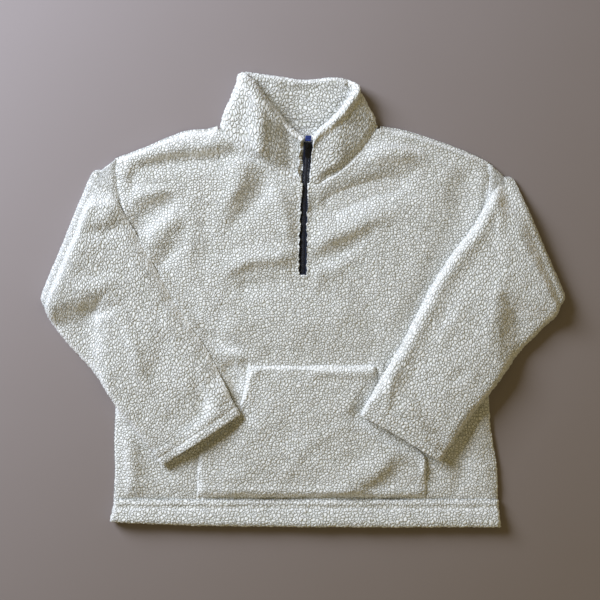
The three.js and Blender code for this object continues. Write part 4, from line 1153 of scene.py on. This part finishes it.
def collar():
    rounds = spread(band["length"], band["cell"], [0, 0.5, 1.2, 2.2], 2)
    ups = spread(band["height"], band["upCell"], [0, 0.35, 0.8, 1.4, 2.2, 3.2, 4.4], 2)

    def middle(r):
        seam, rim = curveAt(collarRows["seam"], r), curveAt(collarRows["rim"], r)
        return mix(seam[None], rim[None], ups[:, None, None])

    grid = middle(rounds)
    ring = middle(np.clip(rounds + 0.004, 0, 1)) - middle(np.clip(rounds - 0.004, 0, 1))
    rise = (curveAt(collarRows["rim"], rounds) - curveAt(collarRows["seam"], rounds))[None]
    normals = np.cross(np.broadcast_to(rise, grid.shape), ring)
    normals /= np.linalg.norm(normals, axis=2, keepdims=True)
    r, u = rounds[None], ups[:, None]
    behind = smooth(r, 0.33, 0.42) * (1 - smooth(r, 0.58, 0.67))
    # both faces bend down to the rim, so that it reads as one fat roll
    grid[..., 2] -= edgeDrop((1 - u) * band["height"], 20) * band["rimFall"] / 20 * (1 - 0.8 * behind)
    thick = mix(cloth / 2, band["wall"] / 2, smooth(u, 0, 0.22))
    fat = 0.55 + 0.4 * smooth(r, 0.66, 0.78) * (1 - smooth(r, 0.95, 1))
    roll = 1 + fat * bell(u - 0.9, 0.085) - 0.05 * bell(u - 0.76, 0.05)
    rimRound = np.sqrt(1 - np.clip((u - 0.89) / 0.11, 0, 0.97) ** 2)
    ends = np.minimum(r, 1 - r) * band["length"]
    thick = thick * roll * rimRound * (1 - 0.2 * (1 - smooth(ends, 0, 3)))

    def faceOf(direction, seed):
        bulge = band["neckRoll"] * behind * bell(u - 0.14, 0.1) if direction > 0 else 0
        face = grid + normals * (direction * thick + bulge)[..., None]
        outward = gridNormals(face, False)
        outward *= np.sign(np.sum(outward * normals * direction, 2, keepdims=True))
        facing = smooth(outward[..., 2], 0.35, 0.8)
        keep = smooth(u, 0.05, 0.2) * (1 - smooth(u, 0.85, 0.98))
        folds = band["foldStrength"] * foldHeight(band["folds"], face[..., 0], face[..., 1])
        face = face + outward * (folds * facing * keep)[..., None]
        if direction > 0:  # the seam's roll inside the back of the neck hangs down to the zip
            face[..., 1] -= band["neckSag"] * behind * bell(u - 0.07, 0.11)
        ragged = 1.2 + 1.9 * waves((face * [0, 1, 1]).reshape(-1, 3), 5.0, seed + 5).reshape(facing.shape)
        face[..., 0] += np.sign(0.5 - r) * ragged * bell(ends, 2.6)
        face[..., 2] = np.maximum(face[..., 2], 0)
        shown = smooth(outward[..., 2], -0.9, -0.3) * smooth(u, -0.02, 0.05)
        return brushed(face, outward, mix(0.25, 1, shown), seed)

    inside, insideHigh = faceOf(1, band["seed"]["inside"])
    outside, outsideHigh = faceOf(-1, band["seed"]["outside"])
    places = clothPlaces(grid, False, len(rounds) // 2, even=True)
    return shell("collarFleece", inside, outside, 1, insideHigh, places, lowHeight=outsideHigh)


# Zip tape: woven polyester, fine ribs across it. Matt navy
def tapeMaterial(name, dark, light):
    material, tree = newMaterial(name)
    place = addNode(tree, "ShaderNodeTexCoord").outputs["Object"]
    ribs = addNode(tree, "ShaderNodeTexWave", {"Scale": 200.0, "Distortion": 1.0, "Detail": 1.0},
                   {"Vector": place}, bands_direction="Y")
    height = multiplyAdd(tree, noise(tree, place, 900.0, 2.0), 0.5, ribs.outputs["Fac"])
    bump = addNode(tree, "ShaderNodeBump", {"Strength": 0.6, "Distance": 0.0003}, {"Height": height})
    finishSurface(tree, {"Roughness": 0.8, "Sheen Weight": 0.1, "Specular IOR Level": 0.3},
                  {"Base Color": colourRamp(tree, height, [(0.1, dark), (1.0, light)]),
                   "Normal": bump.outputs["Normal"]})
    return material


# Coil nylon and lacquered metal: smooth, with worn paler specks where they are rubbed
def hardMaterial(name, base, worn, roughness, metallic, specks):
    material, tree = newMaterial(name)
    place = addNode(tree, "ShaderNodeTexCoord").outputs["Object"]
    grain = noise(tree, place, specks, 4.0)
    rough = ranged(tree, grain, 0.0, 1.0, roughness - 0.08, roughness + 0.12)
    bump = addNode(tree, "ShaderNodeBump", {"Strength": 0.25, "Distance": 0.0001}, {"Height": grain})
    finishSurface(tree, {"Metallic": metallic},
                  {"Base Color": colourRamp(tree, grain, [(0.45, base), (0.75, worn)]),
                   "Roughness": rough, "Normal": bump.outputs["Normal"]})
    return material


# Thread is twisted from the same spun polyester as the tape, undyed
navyTape = tapeMaterial("wovenPolyesterTapeNavy", "070b17", "131c34")
# painted light: a paler blue copy of the navy tape for the folded top end, drawn as lit
paintedLitTape = tapeMaterial("wovenPolyesterTapePaintedLit", "162258", "31448f")
paleThread = tapeMaterial("spunPolyesterThread", "aaa99b", "d4d3c8")
coilNylon = hardMaterial("nylonCoilDark", "080d1b", "1b2440", 0.45, 0.0, 700.0)
blackLacquer = hardMaterial("lacquerOnZincBlack", "0c0d10", "25272c", 0.35, 0.4, 500.0)

# Sewing: short stitches sunk in the pile, drawn thicker than the real 0.3 mm thread so that they show
sewing = {
    "pitch": 4.2, "length": 3.2, "radius": 0.28, "proud": -0.1, "sunk": 0.9,
    "pocketEdge": 10.5,
    "castFrom": 90.0,  # mm, above all cloth, to find its surface from
}


def stitches(name, host, lines):
    # one bowed stitch to each pitch of a line: a round thread whose middle lies on the host's pile
    # and whose ends sink by the fourth power of the distance from that middle
    rows = []
    for line in lines:
        done = np.concatenate([[0], np.cumsum(np.linalg.norm(np.diff(line, axis=0), axis=1))])
        starts = (np.arange(int(done[-1] / sewing["pitch"])) + 0.2) * sewing["pitch"]
        t = np.linspace(0, 1, 7)
        along = starts[:, None] + t * sewing["length"]
        x, y = np.interp(along, done, line[:, 0]), np.interp(along, done, line[:, 1])
        top = np.zeros((len(starts), 3))
        for j in range(len(starts)):
            for n, k in enumerate((0, 3, 6)):
                spot = (np.array([x[j, k], y[j, k], sewing["castFrom"]]) + tableShift) * 0.001
                hit, place = host.ray_cast(spot, (0, 0, -1))[:2]
                top[j, n] = place[2] * 1000 if hit else np.nan
        keep = ~np.isnan(top).any(1)
        x, y, top = x[keep], y[keep], top[keep]
        # the parabola through the three heights found
        z = top[:, :1] * (1 - t) * (1 - 2 * t) + 4 * top[:, 1:2] * t * (1 - t)
        z = z - top[:, 2:] * t * (1 - 2 * t)
        z = z + sewing["proud"] - sewing["sunk"] * (2 * t - 1) ** 4
        away = np.stack([x[:, -1] - x[:, 0], y[:, -1] - y[:, 0]], -1)
        away /= np.linalg.norm(away, axis=1)[:, None]
        angle = fullTurn(6)
        radius = sewing["radius"] * np.sqrt(1 - 0.8 * (2 * t - 1) ** 4)[None, :, None]
        side = radius * np.cos(angle)
        grid = np.stack([x[..., None] - away[:, 1][:, None, None] * side,
                         y[..., None] + away[:, 0][:, None, None] * side,
                         z[..., None] + radius * np.sin(angle)], -1)
        rows.append(grid)
    piece = tubes(name, np.concatenate(rows))
    piece.data.materials.append(paleThread)
    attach(piece, "garment")
    return piece


def hemStitches(host):
    t, s = hem["seamAt"] / hem["height"], np.linspace(0.012, 0.988, 200)
    line = mix(curveAt(hem["left"], t), curveAt(hem["right"], t), s[:, None])
    line[:, 1] -= hemSag(t, s)
    return stitches("hemStitches", host, [line])


def cuffStitches(sideName, host):
    side = sides[sideName]
    over, under = cuffEdges(side, mix(0.02, 1, cuffs["lines"][1][0] / cuffs["length"]))
    line = mix(over, under, np.linspace(0.04, 0.96, 40)[:, None])
    return stitches(sideName + "CuffStitches", host, [line])


def pocketStitches(host):
    inset = sewing["pocketEdge"]
    up = np.linspace(0.3, 1 - inset / pouch["height"], 60)
    left, right, bend = pocketEdges(up)
    share = (inset / pocketWidth(up, bend))[:, None]
    lines = [mix(left, right, share), mix(right, left, share)]
    lines.append(mix(lines[0][-1], lines[1][-1], np.linspace(0.02, 0.98, 60)[:, None]))
    return stitches("pocketStitches", host, lines)


# Zip: a closed nylon coil between two woven tapes, a bartack below it and a folded end above it
zipParts = {
    "from": 39.0, "to": 222.0, "half": 2.6, "height": 1.0, "pitch": 1.6,
    "sink": 1.0,  # mm that tape and coil lie below the slider's path
    "slope": math.atan2(21 - 7.8, collarRows["rim"][-1][1] - frontNeckY),
    "tape": [34.5, 226.4], "bartack": [34.5, 38.6], "topEnd": [226.8, 235.2],
    "corner": 0.00022,  # m, bevel on the cast parts
}


def zipPath(y):
    return 7.8 + np.maximum(0, y - frontNeckY) * math.tan(zipParts["slope"])


def zipTape(sideName):
    # from the coil's edge to the slot's, 1 mm thick, with a slow wave in its height
    side = sides[sideName]
    y = np.linspace(*zipParts["tape"], 193)[:, None]
    half = slotHalf(y)
    away = mix(zipParts["half"] + 0.3, half - 0.5, np.linspace(0, 1, 7)[None])
    x = zipAt(y) + side["sign"] * away
    y = y + 0 * x
    wave = 0.15 * waves(np.dstack([x, y, 0 * x]).reshape(-1, 3), 9.0, 81).reshape(x.shape)
    z = zipPath(y) - zipParts["sink"] + wave
    face, low = np.dstack([x, y, z + 0.5]), np.dstack([x, y, z - 0.5])
    return shell(sideName + "ZipTape", face, low, 1, np.ones(x.shape), np.dstack([x, y]))


def zipCoil():
    # an oval tube whose top carries one ridge to each loop, cos(2 pi y / pitch), the right row half
    # a pitch behind the left, with a groove where the loops meet and one along each row of sewing
    rows = np.arange(zipParts["from"], zipParts["to"], zipParts["pitch"] / 6)
    angle = fullTurn(28)
    y = rows[:, None]
    across = np.cos(angle)
    loop = 0.5 + 0.5 * np.cos(2 * np.pi * y / zipParts["pitch"] + np.pi * (across > 0))
    grooves = 0.3 * bell(across, 0.1) + 0.25 * bell(np.abs(across) - 0.62, 0.1)
    tall = zipParts["height"] * np.sin(angle) * (0.55 + 0.45 * loop)
    tall = tall - grooves * np.maximum(0, np.sin(angle))
    x = zipAt(y) + zipParts["half"] * across * (0.92 + 0.08 * loop)
    grid = np.dstack([x, y + 0 * x, zipPath(y) - zipParts["sink"] + tall])
    return tubes("zipCoil", grid[None])


def squarer(value, power):
    # a sine or cosine drawn out towards 1 or -1: round corners on a square section
    return np.sign(value) * np.abs(value) ** power


def zipBartack():
    # satin stitches side by side across the zip's end: a flat bar with a ridge to each 0.6 mm thread
    y0, y1 = zipParts["bartack"]
    middle = 36.5
    half = float(slotHalf(middle)) - 0.6
    x = np.linspace(-half, half, 100)[:, None]
    angle = fullTurn(24)
    thread = 0.25 * np.abs(np.sin(np.pi * x / 0.6))
    end = np.sqrt(1 - (x / half) ** 10 * 0.9)
    y = mix(y0, y1, 0.5 + 0.5 * squarer(np.cos(angle), 0.6) * end)
    z = zipPath(middle) + 0.4 + (1.35 + thread) * squarer(np.sin(angle), 0.6) * end
    return tubes("zipBartack", np.dstack([zipAt(y) + x, y, z])[None])


def zipTopEnd():
    # the tape folded over on itself above the slider: a rounded pad, dimpled where it is tacked
    y0, y1 = zipParts["topEnd"]
    t = np.linspace(0.001, 0.999, 26)[:, None]
    angle = fullTurn(40)
    end = (1 - (2 * t - 1) ** 6) ** 0.3
    wide, tall = squarer(np.cos(angle), 0.55), squarer(np.sin(angle), 0.55)
    y = mix(y0, y1, t) + 0 * angle
    tack = 0.45 * bell((t - 0.35) * 8.4, 0.7) * (np.abs(wide) < 0.8) * (tall > 0)
    x = zipAt(y) + 4.3 * wide * mix(0.85, 1, end)
    z = zipPath(y) + 0.2 + 1.35 * tall * end - tack
    return tubes("zipTopEnd", np.dstack([x, y, z])[None])


def castPiece(node, name, bodyName):
    # the node's own shape with its corners broken, as a die-cast part leaves the tumbler
    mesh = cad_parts[node].data.copy()
    mesh.name = name
    work = bmesh.new()
    work.from_mesh(mesh)
    bmesh.ops.remove_doubles(work, verts=work.verts, dist=1e-6)
    bmesh.ops.dissolve_limit(work, angle_limit=0.02, verts=work.verts, edges=work.edges)
    bmesh.ops.recalc_face_normals(work, faces=work.faces)
    work.to_mesh(mesh)
    work.free()
    mesh.materials.clear()
    mesh.materials.append(blackLacquer)
    mesh.shade_smooth()
    piece = placed(name, mesh)
    bevel = piece.modifiers.new("corners", "BEVEL")
    bevel.width, bevel.segments, bevel.limit_method = zipParts["corner"], 2, "ANGLE"
    bevel.angle_limit, bevel.harden_normals, bevel.use_clamp_overlap = 0.6, True, True
    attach(piece, bodyName)
    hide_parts(node)
    return piece


def closure():
    made = []
    for piece, node, finish in (
        (zipTape("left"), "zip_tape_left", navyTape), (zipTape("right"), "zip_tape_right", navyTape),
        (zipCoil(), "zip_coil", coilNylon), (zipBartack(), "zip_bottom_stop", navyTape),
        # the top end takes the painted-light copy of the navy tape
        (zipTopEnd(), "zip_top_end", paintedLitTape),
    ):
        piece.data.materials.append(finish)
        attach(piece, "garment")
        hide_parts(node)
        made.append(piece)
        print(node, len(piece.data.polygons), "faces")
    castPiece("zip_slider", "zipSlider", "garment")
    castPiece("pull_tab", "zipPullTab", "zip_pull")
    return made


def build():
    dress(backPanel(), "back_panel", bodyFleece)
    dress(frontPanel(), "front_panel", bodyFleece, closure())
    piece = pocketPatch()
    dress(piece, "pocket", bodyFleece, [pocketStitches(piece)])
    for name in ("left", "right"):
        dress(sleeve(name), "sleeve_" + name, sleeveFleece)
        piece = cuff(name)
        dress(piece, "cuff_" + name, sleeveFleece,
              [cuffStitches(name, piece)])
    piece = hemBand()
    dress(piece, "hem_band", sleeveFleece, [hemStitches(piece)])
    dress(collar(), "collar", collarFleece)
    print("garment finished")


build()


# Floor, light and camera
setting = {
    "sky": "f0d796", "skyStrength": 0.24,
    # watts, place and size in m, colour
    "windowLight": [93.0, (-1.7, 1.3, 1.34), 1.2, "e8f0ff"],
    "fillLight": [3.0, (1.2, -0.9, 1.6), 1.8, "fff3d8"],
    "floorHalf": 4, "floorLevel": -0.0005,
    "lens": 62.07, "cameraPlace": (-0.0031, -0.0006, 1.5),
}


def floorMaterial():
    # painted light: paler and cooler towards the window at the upper left, as its light and reflection fall
    # on the floor
    material, tree = newMaterial("matWallPaint")
    place = addNode(tree, "ShaderNodeTexCoord").outputs["Object"]
    across = addNode(tree, "ShaderNodeVectorMath", {1: (1.0, -1.0, 0.0)}, {0: place},
                     operation="DOT_PRODUCT")
    mixed = multiplyAdd(tree, noise(tree, place, 9.0, 5.0), 0.12, across.outputs["Value"])
    stops = [(0.0, "9a9294"), (0.5, "8d8482"), (1.0, "82776f")]
    finishSurface(tree, {"Roughness": 0.7, "Specular IOR Level": 0.3},
                  {"Base Color": colourRamp(tree, ranged(tree, mixed, -0.75, 0.85), stops)})
    return material


def softLight(name, power, place, size, colour):
    lamp = bpy.data.lights.new(name, "AREA")
    lamp.energy, lamp.size, lamp.color = power, size, toLinear(colour)[:3]
    lampObject = placed(name, lamp)
    lampObject.location = place
    x, y, z = place
    lampObject.rotation_euler = (math.atan2(math.hypot(x, y), z), 0, math.atan2(y, x) + math.pi / 2)


def studio():
    mesh = bpy.data.meshes.new("floor")
    half, level = setting["floorHalf"], setting["floorLevel"]
    corners = [(x * half, y * half, level) for x, y in ((-1, -1), (1, -1), (1, 1), (-1, 1))]
    mesh.from_pydata(corners, [], [(0, 1, 2, 3)])
    mesh.materials.append(floorMaterial())
    placed("floor", mesh)
    for name in ("windowLight", "fillLight"):
        softLight(name, *setting[name])
    world = bpy.data.worlds.new("softRoom")
    world.use_nodes = True
    background = world.node_tree.nodes["Background"]
    background.inputs["Color"].default_value = toLinear(setting["sky"])
    background.inputs["Strength"].default_value = setting["skyStrength"]
    bpy.context.scene.world = world
    bpy.context.scene.view_settings.view_transform = "Standard"
    camera = bpy.data.cameras.new("camera")
    camera.lens, camera.sensor_width = setting["lens"], 36
    bpy.context.scene.camera = placed("camera", camera)
    bpy.context.scene.camera.location = setting["cameraPlace"]


studio()
